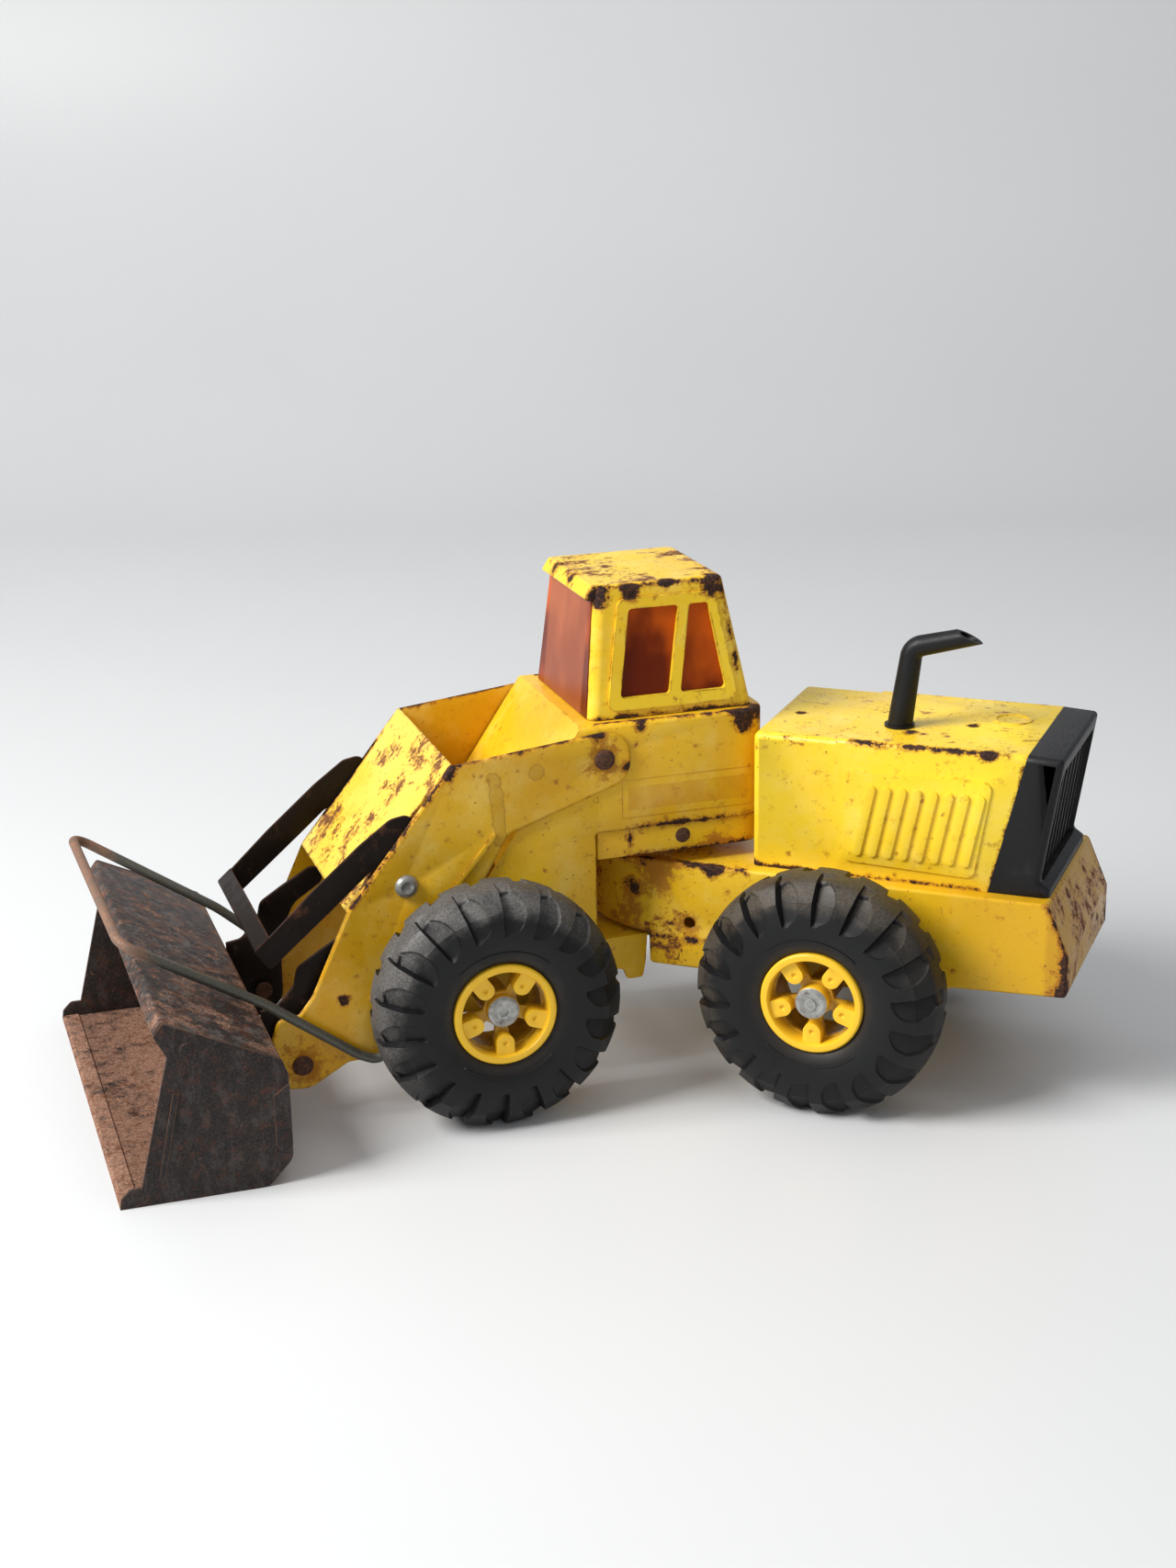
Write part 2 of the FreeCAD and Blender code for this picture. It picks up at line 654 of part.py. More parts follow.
def rear_chassis():
    """Chassis pressing with a round nose under the front rail and a bevelled tail."""
    body = new_body("rear_chassis", REAR)
    wide = dim("chassis_half_width")
    top = dim("chassis_top")
    tail = dim("chassis_rear_x")
    outline = [
        (wide, top), (wide, 69.5), (4, 67.2, 2), (3.6, 51, 2), (-138, 51, 4), (-150, 58, 4), (tail, 60, 2),
        (tail, 81, 3), (-194.4, top, 3),
    ]
    pad(body, sketch(body, "XZ_Plane", edges_of(outline)), "2 * dims.chassis_half_width", True)
    for side in (1, -1):
        far = 2 * wide
        edge = [
            Part.LineSegment(Vector(0, side * wide, 0), Vector(0, side * far, 0)),
            Part.LineSegment(Vector(0, side * far, 0), Vector(far, side * far, 0)),
            Part.LineSegment(Vector(far, side * far, 0), Vector(far, 0, 0)),
            Part.LineSegment(Vector(far, 0, 0), Vector(wide, 0, 0)),
            Part.Arc(Vector(wide, 0, 0), Vector(wide, side * wide, 0) * math.sqrt(0.5),
                     Vector(0, side * wide, 0)),
        ]
        pocket(body, sketch(body, "XY_Plane", edge), "600", True)

    def top_rim(edge):
        box = edge.BoundBox
        return box.ZMin > top - 0.1 and box.XMax > -190

    fillet(body, 1.6, top_rim)
    inner = wide - STEEL
    plan = [
        Part.LineSegment(Vector(0, inner, 0), Vector(-192, inner, 0)),
        Part.LineSegment(Vector(-192, inner, 0), Vector(-192, -inner, 0)),
        Part.LineSegment(Vector(-192, -inner, 0), Vector(0, -inner, 0)),
        Part.Arc(Vector(0, -inner, 0), Vector(inner, 0, 0), Vector(0, inner, 0)),
    ]
    pocket(body, sketch(body, "XY_Plane", plan, "30"), "dims.chassis_top - dims.steel - 30", reverse=True)
    tail_hollow = [(-188, 40), (-188, top - STEEL), (-193.6, top - STEEL), (tail + STEEL, 80.6),
                   (tail + STEEL, 40)]
    pocket(body, sketch(body, "XZ_Plane", edges_of(tail_hollow)),
           "2 * (dims.chassis_half_width - dims.steel)", True)
    holes = [
        circle(dim("rear_axle_x"), dim("axle_height"), dim("axle_diameter")),
        circle(dim("cross_hole_x"), dim("cross_hole_z"), dim("cross_hole")),
    ]
    pocket(body, sketch(body, "XZ_Plane", holes), "3 * dims.chassis_half_width", True)
    pin = circle(0, 0, dim("king_pin_diameter") + 2 * FIT)
    pocket(body, sketch(body, "XY_Plane", [pin]), "600", True)


def rear_pan():
    """Bottom plate of the rear chassis with turned-up sides."""
    body = new_body("rear_pan", REAR)
    wide = dim("chassis_half_width") - STEEL - 0.05
    section = strip([(-wide, 63), (-wide, 51.2, 1.5), (wide, 51.2, 1.5), (wide, 63)], STEEL)
    drawing = sketch(body, "YZ_Plane", edges_of(section), "-78")
    pad(body, drawing, "72")
    rear = sketch(body, "YZ_Plane", edges_of(section), "-137")
    pad(body, rear, "28")
    wide = dim("chassis_half_width")
    turned("pan_rivets", REAR, arc_profile(wide, wide + 0.2, 3.6, 0.6), [-8.9], 57.9)


def hood():
    """Engine hood in two steps, open below and behind, with pressed louvres and a filler ring."""
    top = dim("hood_top")
    front = dim("hood_front_x")
    base = dim("chassis_top") + 0.1
    step = dim("hood_step")
    half = dim("hood_half_width")

    def block(outline, shrink):
        width = 2 * (half - shrink)
        solid = prism(outline, "y", shrink - half, width)
        front_x = max(spot[0] for spot in outline)
        top_z = max(spot[1] for spot in outline)

        def rounded(edge):
            box = edge.BoundBox
            along = box.YMax - box.YMin < 1
            upright_front = along and box.XMin > front_x - 0.1
            top_side = along and box.ZMin > top_z - 0.1
            top_front = box.ZMin > top_z - 0.1 and box.XMin > front_x - 0.1
            return upright_front or top_side or top_front

        return solid.makeFillet(3.4, [edge for edge in solid.Edges if rounded(edge)])

    fore = block([(front, base), (front, top - step), (-100, top - step), (-100, base)], step)
    rear = [(-85.6, base), (-89.2, top), (-180.8, top), (-164.2, base)]
    aft = prism(rear, "y", -half, 2 * half)
    aft = aft.makeFillet(3.0, [edge for edge in aft.Edges if edge.BoundBox.ZMin > top - 0.1
                               and edge.BoundBox.YMax - edge.BoundBox.YMin < 1])
    wall = half - STEEL - step
    ceiling = top - STEEL - step
    inside = prism([(-wall, base - 5), (wall, base - 5), (wall, ceiling, 2.2), (-wall, ceiling, 2.2)],
                   "x", -230, 230 + front - STEEL)
    shell = fore.fuse(aft).cut(inside)

    panel = [(-92.6, 114.6, 4), (-94.4, 160.4, 4), (-165.4, 160.6, 4), (-157.2, 112.4, 4)]
    pressed = []
    for side in (1, -1):
        pressed.append(prism(panel, "y", side * (half - 0.5), side * 1.6))
        for i in range(8):
            low = -98.1 - 7.54 * i
            flute = strip([(low, 118.6), (low - 7.4, 154.2)], 4.2)
            flute = [(spot[0], spot[1], 1.9) for spot in flute]
            pressed.append(prism(flute, "y", side * half, side * 2.3))
    ring = Part.makeCylinder(9.5, 0.9, Vector(-161.8, -12, top - 0.3))
    ring = ring.cut(Part.makeCylinder(7.8, 2, Vector(-161.8, -12, top - 0.5)))
    made_shape("hood", REAR, shell.fuse(pressed + [ring]).removeSplitter())


def grille():
    """Moulded tail piece with upright slats set back in its rear opening, above a sill."""
    half = dim("hood_half_width")
    low = dim("chassis_top") + 0.2
    outline = [(-164.3, low), (-180.9, 175), (-197.8, 174, 2), (-188.4, 113, 3), (-193.4, 109.6, 1),
               (-193.4, low)]
    block = prism(outline, "y", -half, 2 * half)
    top_sides = [edge for edge in block.Edges if edge.BoundBox.ZMin > 173 and edge.BoundBox.XLength > 12
                 and edge.BoundBox.YLength < 1]
    block = block.makeFillet(3.4, top_sides)
    frame = half - 5.0
    opening = [(-frame, 112.4, 3), (-frame, 166.6, 6), (frame, 166.6, 6), (frame, 112.4, 3)]
    recess = prism(opening, "x", -210, 210 - 168)
    inside = [(-half + 2, low - 5), (-half + 2, 172.6, 2), (half - 2, 172.6, 2), (half - 2, low - 5)]
    hollow = prism(inside, "x", -230, 80)
    back = prism([(-150, low - 6), (-150, 190), (-183.8, 190), (-174.6, low - 6)], "y", -half, 2 * half)
    shell = block.cut([recess, hollow.common(back)])
    face = prism([(-189.6, 167.2), (-182.2, 112.0), (-179.0, 112.0), (-186.4, 167.2)], "y", -frame - 1,
                 2 * frame + 2)
    slats = []
    count = 8
    for i in range(count):
        middle = frame * (2 * (i + 0.5) / count - 1)
        blade = [(-194.0, 167.2), (-186.4, 112.0), (-182.0, 112.0), (-189.4, 167.2)]
        slats.append(prism(blade, "y", middle - 1.0, 2.0))
    made_shape("grille", REAR, shell.fuse([face.common(block)] + slats).removeSplitter())


def exhaust_stack():
    """Tapered bent stack with a base flange and an open, slanting end."""
    y = dim("stack_y")
    foot = Vector(-112.3, y, dim("hood_top") - 0.4)
    bend = Vector(-117.8, y, 214.6)
    tip = Vector(-150.4, y, 223.2)
    path = Part.Wire([piece.toShape() for piece in rounded_path([foot, bend, tip], [0, 7, 0], False)])
    wide = dim("stack_foot_diameter") / 2
    narrow = dim("stack_tip_diameter") / 2
    rings = [Part.Wire(Part.makeCircle(wide, foot, bend - foot)),
             Part.Wire(Part.makeCircle(narrow, tip, tip - bend))]
    tube = path.makePipeShell(rings, True, True)
    flange = Part.makeCylinder(wide + 1.2, 1.5, Vector(foot.x, y, dim("hood_top") - 0.1))
    below = Part.makeBox(60, 60, 20, Vector(-142, y - 30, dim("hood_top") + 0.05 - 20))
    mouth = Part.makeCylinder(narrow - 1.5, 14, tip, bend - tip)
    slant = Part.makeBox(40, 30, 30, Vector(-40, -15, 0))
    slant.Placement = Placement(Vector(-138.6, y, 224.6), Rotation(Vector(0, 1, 0), -24))
    stack = tube.fuse(flange).cut([below, slant, mouth])
    made_shape("exhaust_stack", REAR, stack.removeSplitter())


# ---------------------------------------------------------------- axles and wheels

def axle_set(name, section, x, frame_face, domed):
    """Rod, inner sleeves and pushed-on caps of one axle."""
    radius = dim("axle_diameter") / 2
    z = dim("axle_height")
    face = dim(f"{name}_hub_face")
    end = face + 2.4 if domed else face + 0.6
    rod = Part.makeCylinder(radius, 2 * end, Vector(x, -end, z), Vector(0, 1, 0))
    made_shape(f"{name}_axle", section, rod)
    sleeve = [(frame_face + 0.05, radius), (frame_face + 0.05, 5.5), (dim("rim_inner_face") - 0.3, 5.5),
              (dim("rim_inner_face") - 0.3, radius)]
    turned(f"{name}_axle_sleeves", section, sleeve, [x], z)
    cap = dim("axle_cap_diameter") / 2
    start = face + 0.3
    washer = [(start, radius), (start, cap - 0.6), (start + 0.5, cap), (start + 1.0, cap - 0.4),
              (start + 1.4, cap - 1.6), (start + 1.0, radius + 1.2), (start + 1.0, radius)]
    turned(f"{name}_axle_caps", section, washer, [x], z)


def wheel(axle, side_name, section, x, side):
    """Rim and tyre of one wheel; side is 1 on the left and -1 on the right."""
    name = f"{axle}_{side_name}"
    z = dim("axle_height")
    inner = dim("rim_inner_face")
    outer = dim("rim_outer_face")
    edge = dim("rim_radius")
    bore = dim("axle_diameter") / 2 + FIT
    hub = dim("hub_radius")
    hub_end = dim(f"{axle}_hub_face")
    web = 89.0
    back = web - 2.6
    profile = [
        (inner, bore), (inner, hub), (back, hub), (back, edge - 4), (inner + 2, edge - 3),
        (inner + 2, edge - 0.1), (outer - 0.8, edge - 0.1), (outer, edge - 0.9), (outer, edge - 3.4),
        (outer - 1.2, edge - 4), (web, edge - 4.4), (web, hub), (hub_end - 0.8, hub),
        (hub_end, hub - 0.8), (hub_end, bore),
    ]
    rim = revolved(profile, side)
    count = int(dim("spoke_count"))
    ring = dim("boss_circle")
    boss_half = dim("boss_radius")
    boss_outline = [(-boss_half, edge - 3.8), (-boss_half, ring - boss_half, boss_half - 0.01),
                    (boss_half, ring - boss_half, boss_half - 0.01), (boss_half, edge - 3.8)]
    openings = []
    bosses = []
    dimples = []
    for i in range(count):
        turn = 360 / count * i
        wedge = prism([(-2.6, hub + 1, 1), (2.6, hub + 1, 1), (8.2, edge - 6.4, 1.5), (0, edge - 4.6, 8),
                       (-8.2, edge - 6.4, 1.5)], "y", side * (web - 12), side * 20)
        wedge.rotate(Vector(), Vector(0, 1, 0), turn)
        openings.append(wedge)
        boss = prism(boss_outline, "y", side * back, side * (outer - 2.2 - back))
        dimple = Part.makeCone(0.6, 1.5, 1.2, Vector(0, side * (outer - 3.2), ring), Vector(0, side, 0))
        for piece, group in ((boss, bosses), (dimple, dimples)):
            piece.rotate(Vector(), Vector(0, 1, 0), turn + 180 / count)
            group.append(piece)
    rim = rim.cut(openings).fuse(bosses).cut(dimples).removeSplitter()
    rim.translate(Vector(x, 0, z))
    made_shape(f"{name}_rim", section, rim)

    tyre_in = dim("tyre_inner_face")
    tyre_out = dim("tyre_outer_face")
    crown = dim("tyre_radius")
    middle = (tyre_in + tyre_out) / 2
    tread = [(tyre_in + 2.5, edge), (tyre_in + 1, edge + 3), (tyre_in, 42), (tyre_in + 1.4, crown - 4),
             (tyre_in + 4, crown - 1), (middle, crown), (tyre_out - 4, crown - 1),
             (tyre_out - 1.4, crown - 4), (tyre_out, 42), (tyre_out - 0.8, edge + 3),
             (tyre_out - 2, edge)]
    tyre = revolved(tread, side)
    tyre.translate(Vector(x, 0, z))
    made_shape(f"{name}_tyre", section, tyre)


def revolved(profile, side):
    """Solid of revolution about Y from (y, radius) points."""
    outline = [Vector(0, side * y, radius) for y, radius in profile]
    return Part.Face(Part.makePolygon(outline + outline[:1])).revolve(Vector(), Vector(0, 1, 0), 360)


# ---------------------------------------------------------------- the loader

front_body()
front_rail()
front_lower_arm()
king_pin()
cab()
front_rivets()
boom()
lever_rod()
bucket_pivot_rivets()
tilt_lever()
wire_bail()
bucket()
rear_chassis()
rear_pan()
hood()
grille()
exhaust_stack()
axle_set("front", FRONT, dim("front_axle_x"), dim("body_half_width"), False)
axle_set("rear", REAR, dim("rear_axle_x"), dim("chassis_half_width"), True)
wheel("front", "left", FRONT, dim("front_axle_x"), 1)
wheel("front", "right", FRONT, dim("front_axle_x"), -1)
wheel("rear", "left", REAR, dim("rear_axle_x"), 1)
wheel("rear", "right", REAR, dim("rear_axle_x"), -1)

doc.recompute()
for feature in doc.Objects:
    if "Invalid" in feature.State or "Error" in feature.State:
        raise RuntimeError(f"{feature.Label} failed: {feature.State}")
box = FreeCAD.BoundBox()
for part in sub_parts:
    if part.Shape.isNull() or not part.Shape.isValid() or not part.Shape.Solids:
        raise RuntimeError(f"{part.Label} has no valid shape")
    box.add(part.Shape.BoundBox)
print("whole box", box)

os.makedirs("parts", exist_ok=True)
for part in sub_parts:
    part.Shape.exportStep(f"parts/{part.Label}.step")
print(len(sub_parts), "sub-parts written")
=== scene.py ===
"""Looks of the toy front loader: enamel with rust and chips, treaded tyres, moulded grille.

Pieces are built in millimetres in the frame of their own section (X forward from the steering
pin, Y left, Z up from the ground) and then moved into the row frame, in metres.
"""

import json
import math

import bmesh
import bpy
from mathutils import Matrix, Vector

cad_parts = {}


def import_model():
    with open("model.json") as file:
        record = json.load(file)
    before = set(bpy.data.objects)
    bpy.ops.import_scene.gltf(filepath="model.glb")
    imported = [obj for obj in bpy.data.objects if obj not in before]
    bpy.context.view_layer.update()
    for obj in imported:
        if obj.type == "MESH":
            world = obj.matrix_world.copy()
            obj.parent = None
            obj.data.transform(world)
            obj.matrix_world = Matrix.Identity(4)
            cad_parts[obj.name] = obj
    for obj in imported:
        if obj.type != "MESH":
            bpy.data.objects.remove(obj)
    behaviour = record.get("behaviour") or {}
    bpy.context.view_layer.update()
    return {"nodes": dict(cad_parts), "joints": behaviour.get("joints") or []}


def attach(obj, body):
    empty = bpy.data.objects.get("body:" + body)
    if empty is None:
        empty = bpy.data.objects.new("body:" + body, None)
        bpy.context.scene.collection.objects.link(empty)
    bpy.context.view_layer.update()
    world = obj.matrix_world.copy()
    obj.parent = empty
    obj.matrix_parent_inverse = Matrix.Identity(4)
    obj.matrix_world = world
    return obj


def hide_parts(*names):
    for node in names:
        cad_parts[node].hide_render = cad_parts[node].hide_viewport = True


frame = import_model()

MM = 0.001
joints = {joint["name"]: joint for joint in frame["joints"]}
pin = Vector(joints["steering"]["pos_m"])
pin.z = 0.0
rear_axle_way = joints["rear_left_spin"]["axis"]
BEND = math.atan2(rear_axle_way[0], rear_axle_way[1])
SECTIONS = {
    "front": Matrix.Translation(pin),
    "rear": Matrix.Translation(pin) @ Matrix.Rotation(-BEND, 4, "Z"),
}


# ---------------------------------------------------------------- shader helpers

class Shader:
    """Short names for the nodes of one material; lengths in its graph are millimetres."""

    def __init__(self, name, section="front"):
        self.material = bpy.data.materials.new(name)
        self.material.use_nodes = True
        self.tree = self.material.node_tree
        self.tree.nodes.clear()
        self.surface = self.node("ShaderNodeBsdfPrincipled")
        output = self.node("ShaderNodeOutputMaterial")
        self.tree.links.new(self.surface.outputs["BSDF"], output.inputs["Surface"])
        place = SECTIONS[section].inverted()
        mapping = self.node("ShaderNodeMapping")
        mapping.inputs["Location"].default_value = place.to_translation() / MM
        mapping.inputs["Rotation"].default_value = place.to_euler()
        mapping.inputs["Scale"].default_value = (1 / MM,) * 3
        coordinates = self.node("ShaderNodeTexCoord")
        self.tree.links.new(coordinates.outputs["Object"], mapping.inputs["Vector"])
        self.spot = mapping.outputs["Vector"]

    def node(self, kind, **settings):
        """New node of a kind, with its settings."""
        made = self.tree.nodes.new(kind)
        for key, value in settings.items():
            setattr(made, key, value)
        return made

    def feed(self, socket, value):
        """Links another node's output to a socket, or sets the socket to a plain value."""
        if isinstance(value, bpy.types.NodeSocket):
            self.tree.links.new(value, socket)
        elif isinstance(value, (tuple, list)) and len(value) == 3 and socket.type == "RGBA":
            socket.default_value = (*value, 1.0)
        else:
            socket.default_value = value

    def math(self, operation, first, second=0.0, clamp=False):
        """Maths on one or two numbers."""
        made = self.node("ShaderNodeMath", operation=operation, use_clamp=clamp)
        self.feed(made.inputs[0], first)
        self.feed(made.inputs[1], second)
        return made.outputs[0]

    def vector(self, operation, first, second):
        """Maths on two vectors."""
        made = self.node("ShaderNodeVectorMath", operation=operation)
        self.feed(made.inputs[0], first)
        self.feed(made.inputs[1], second)
        return made.outputs["Value" if operation in ("DOT_PRODUCT", "DISTANCE") else "Vector"]

    def scaled(self, vector, scale):
        """A vector times a number."""
        made = self.node("ShaderNodeVectorMath", operation="SCALE")
        self.feed(made.inputs[0], vector)
        self.feed(made.inputs["Scale"], scale)
        return made.outputs["Vector"]

    def ramp(self, value, low, high, start=0.0, end=1.0):
        """Smooth step from start to end as value goes from low to high."""
        made = self.node("ShaderNodeMapRange", interpolation_type="SMOOTHSTEP")
        for socket, given in zip(made.inputs, (value, low, high, start, end)):
            self.feed(socket, given)
        return made.outputs["Result"]

    def noise(self, size, detail=3.0, rough=0.55, stretch=(1.0, 1.0, 1.0), shift=0.0):
        """Noise about 0.5, whose features are about size millimetres across."""
        where = self.vector("MULTIPLY", self.spot, stretch)
        if shift:
            where = self.vector("ADD", where, (shift, shift * 0.7, -shift * 0.4))
        made = self.node("ShaderNodeTexNoise")
        self.feed(made.inputs["Vector"], where)
        made.inputs["Scale"].default_value = 1.0 / size
        made.inputs["Detail"].default_value = detail
        made.inputs["Roughness"].default_value = rough
        return made.outputs["Fac"]

    def cells(self, size, shift=0.0):
        """Distance to scattered points, in units of size millimetres, and each cell's colour."""
        made = self.node("ShaderNodeTexVoronoi", feature="F1")
        self.feed(made.inputs["Vector"], self.vector("ADD", self.spot, (shift, -shift, shift)))
        made.inputs["Scale"].default_value = 1.0 / size
        return made.outputs["Distance"], made.outputs["Color"]

    def mix(self, factor, first, second):
        """Colour between first, at a factor of 0, and second, at 1."""
        made = self.node("ShaderNodeMix", data_type="RGBA")
        self.feed(made.inputs["Factor"], factor)
        self.feed(made.inputs[6], first)
        self.feed(made.inputs[7], second)
        return made.outputs[2]

    def split(self, vector):
        """The x, y and z of a vector."""
        made = self.node("ShaderNodeSeparateXYZ")
        self.feed(made.inputs[0], vector)
        return made.outputs[0], made.outputs[1], made.outputs[2]

    def edge(self, radius=1.2):
        """How sharply the surface turns within radius millimetres, from 0."""
        bevel = self.node("ShaderNodeBevel", samples=4)
        bevel.inputs["Radius"].default_value = radius * MM
        flat = self.node("ShaderNodeNewGeometry").outputs["Normal"]
        return self.math("SUBTRACT", 1.0, self.vector("DOT_PRODUCT", bevel.outputs["Normal"], flat))

    def around(self, spots):
        """Largest of 1 - distance / reach over the spots (x, y, z, reach)."""
        best = None
        for x, y, z, reach in spots:
            away = self.vector("DISTANCE", self.spot, (x, y, z))
            value = self.math("SUBTRACT", 1.0, self.math("DIVIDE", away, reach))
            best = value if best is None else self.math("MAXIMUM", best, value)
        return best

    def along(self, lines):
        """Largest of 1 - distance / reach over the lines (start, end, reach)."""
        best = None
        for start, end, reach in lines:
            start = Vector(start)
            way = Vector(end) - start
            offset = self.vector("SUBTRACT", self.spot, start)
            share = self.math("DIVIDE", self.vector("DOT_PRODUCT", offset, way), way.length_squared,
                              clamp=True)
            away = self.vector("DISTANCE", offset, self.scaled(way, share))
            value = self.math("SUBTRACT", 1.0, self.math("DIVIDE", away, reach))
            best = value if best is None else self.math("MAXIMUM", best, value)
        return best

    def bump(self, height, strength=1.0, depth=0.2):
        """Bump whose height of 1 stands for depth millimetres."""
        made = self.node("ShaderNodeBump")
        made.inputs["Strength"].default_value = strength
        made.inputs["Distance"].default_value = depth * MM
        self.feed(made.inputs["Height"], height)
        self.feed(self.surface.inputs["Normal"], made.outputs["Normal"])

    def done(self, color, roughness, metallic=0.0, **constants):
        """The finished material; constants are other sockets, spaces as underscores."""
        self.feed(self.surface.inputs["Base Color"], color)
        self.feed(self.surface.inputs["Roughness"], roughness)
        self.feed(self.surface.inputs["Metallic"], metallic)
        for name, value in constants.items():
            self.surface.inputs[name.replace("_", " ")].default_value = value
        return self.material


# ---------------------------------------------------------------- materials

# enamel and what has got into it, with the paler lit plate and the darker tail colours, which are painted
# light and painted shade
YELLOW = (0.93, 0.665, 0.030)
# the deep yellow also stands as painted shade on the pieces that are set to deepen far
YELLOW_DEEP = (0.70, 0.35, 0.004)
YELLOW_PALE = (0.90, 0.74, 0.24)
# painted light: paler yellow for the boom's top plate, where the key light falls
YELLOW_PLATE_LIT = (0.90, 0.68, 0.10)
# painted shade: darker yellows for the tail towards its rear and for its slanting back
YELLOW_TAIL_SHADE = (0.62, 0.34, 0.008)
YELLOW_TAIL_BACK_SHADE = (0.40, 0.19, 0.012)
INK = (0.52, 0.17, 0.012)
DRIED_DROP = (0.36, 0.17, 0.012)
STAIN = (0.36, 0.115, 0.010)
RUST = (0.090, 0.032, 0.014)
RUST_DARK = (0.018, 0.009, 0.007)
RUST_SPECK = (0.19, 0.070, 0.018)
CHALK = 0.30  # most that the enamel turns chalky

# pairs of colours between which a material's grain runs, and the colours laid over them
STEEL = ((0.006, 0.005, 0.005), (0.040, 0.031, 0.028))
STEEL_SCUFFED = ((0.050, 0.046, 0.044), (0.155, 0.138, 0.128))
STEEL_EDGE = (0.24, 0.125, 0.078)
ORANGE_RUST = ((0.13, 0.058, 0.036), (0.43, 0.245, 0.165))
DEEP_RUST = ((0.035, 0.012, 0.007), (0.22, 0.066, 0.028))
BLACK_PAINT = ((0.004, 0.0035, 0.003), (0.018, 0.011, 0.008))
BLACK_WORN = (0.095, 0.040, 0.022)
WIRE = ((0.045, 0.047, 0.038), (0.16, 0.155, 0.125))
WIRE_RUST = ((0.17, 0.070, 0.038), (0.42, 0.23, 0.15))
RIVET_RUST = ((0.030, 0.014, 0.010), (0.15, 0.060, 0.028))
ZINC = ((0.42, 0.42, 0.40), (0.25, 0.25, 0.235))
ZINC_GRIME = (0.13, 0.095, 0.065)
ZINC_EDGE = (0.62, 0.62, 0.60)
TYRE = ((0.0025, 0.0028, 0.003), (0.008, 0.0085, 0.0095))
TYRE_DUST = {"front": ((0.045, 0.043, 0.042), (0.160, 0.150, 0.140)),
             "rear": ((0.034, 0.028, 0.021), (0.110, 0.090, 0.068))}
TYRE_GRIME = (0.040, 0.030, 0.022)
TYRE_SCUFF = (0.13, 0.125, 0.12)
RIM = ((0.84, 0.48, 0.012), (0.90, 0.55, 0.020))
RIM_RECESS_DUST_AND_SHADE = (0.22, 0.11, 0.012)
PLASTIC = ((0.0035, 0.0035, 0.0042), (0.009, 0.0092, 0.011))
PLASTIC_DUST = (0.06, 0.055, 0.05)
PLASTIC_SCRATCH = (0.10, 0.095, 0.09)
SIDE_TINT = ((0.13, 0.014, 0.0008), (0.52, 0.085, 0.002))
FRONT_TINT = ((0.26, 0.058, 0.018), (0.38, 0.100, 0.034))
TINT_DUST = (0.40, 0.16, 0.08)
STUDIO_WHITE = ((0.66, 0.67, 0.68), (0.70, 0.71, 0.715))

# the outline on the tower's sides: its middle, its half sizes, how far in its band's middle line
# lies from the outline, and how far out the sides are
DECAL_X, DECAL_Z = 20.0, 143.05
DECAL_HALF_LENGTH, DECAL_HALF_HEIGHT = 34.0, 9.55
DECAL_BAND_IN = 9.5
DECAL_SIDE = 50.0


def specks(s, size, most, density, shift):
    """Positive inside ragged specks, one per cell of size millimetres, fewer where density is low."""
    away, tint = s.cells(size, shift=shift)
    draw = s.vector("DOT_PRODUCT", tint, (0.6, 0.3, 0.1))
    reach = s.math("MULTIPLY", s.math("POWER", draw, 3.0), s.math("MULTIPLY", density, most))
    ragged = s.math("MULTIPLY", s.math("SUBTRACT", s.noise(size * 0.2, 4.0, 0.7, shift=shift), 0.5), 0.5)
    return s.math("SUBTRACT", reach, s.math("ADD", away, ragged))


def tower_decal(s, color):
    """Faded printed band with a thin outline on the tower's two sides."""
    x, y, z = s.split(s.spot)
    across = s.math("SUBTRACT", s.math("ABSOLUTE", s.math("SUBTRACT", x, DECAL_X)), DECAL_HALF_LENGTH)
    upward = s.math("SUBTRACT", s.math("ABSOLUTE", s.math("SUBTRACT", z, DECAL_Z)), DECAL_HALF_HEIGHT)
    away = s.math("MAXIMUM", across, upward)
    on_side = s.math("GREATER_THAN", s.math("ABSOLUTE", y), DECAL_SIDE)
    worn = s.ramp(s.noise(16, 2.0, 0.5, shift=90), 0.30, 0.62, 0.35, 1.0)
    line = s.ramp(s.math("ABSOLUTE", away), 0.2, 0.5, 0.6, 0.0)
    band = s.ramp(s.math("ABSOLUTE", s.math("ADD", upward, DECAL_BAND_IN)), 5.6, 6.0, 0.38, 0.0)
    band = s.math("MULTIPLY", band, s.math("LESS_THAN", across, -3.0))
    ink = s.math("MULTIPLY", s.math("MULTIPLY", s.math("MAXIMUM", line, band), on_side), worn)
    return s.mix(ink, color, INK)


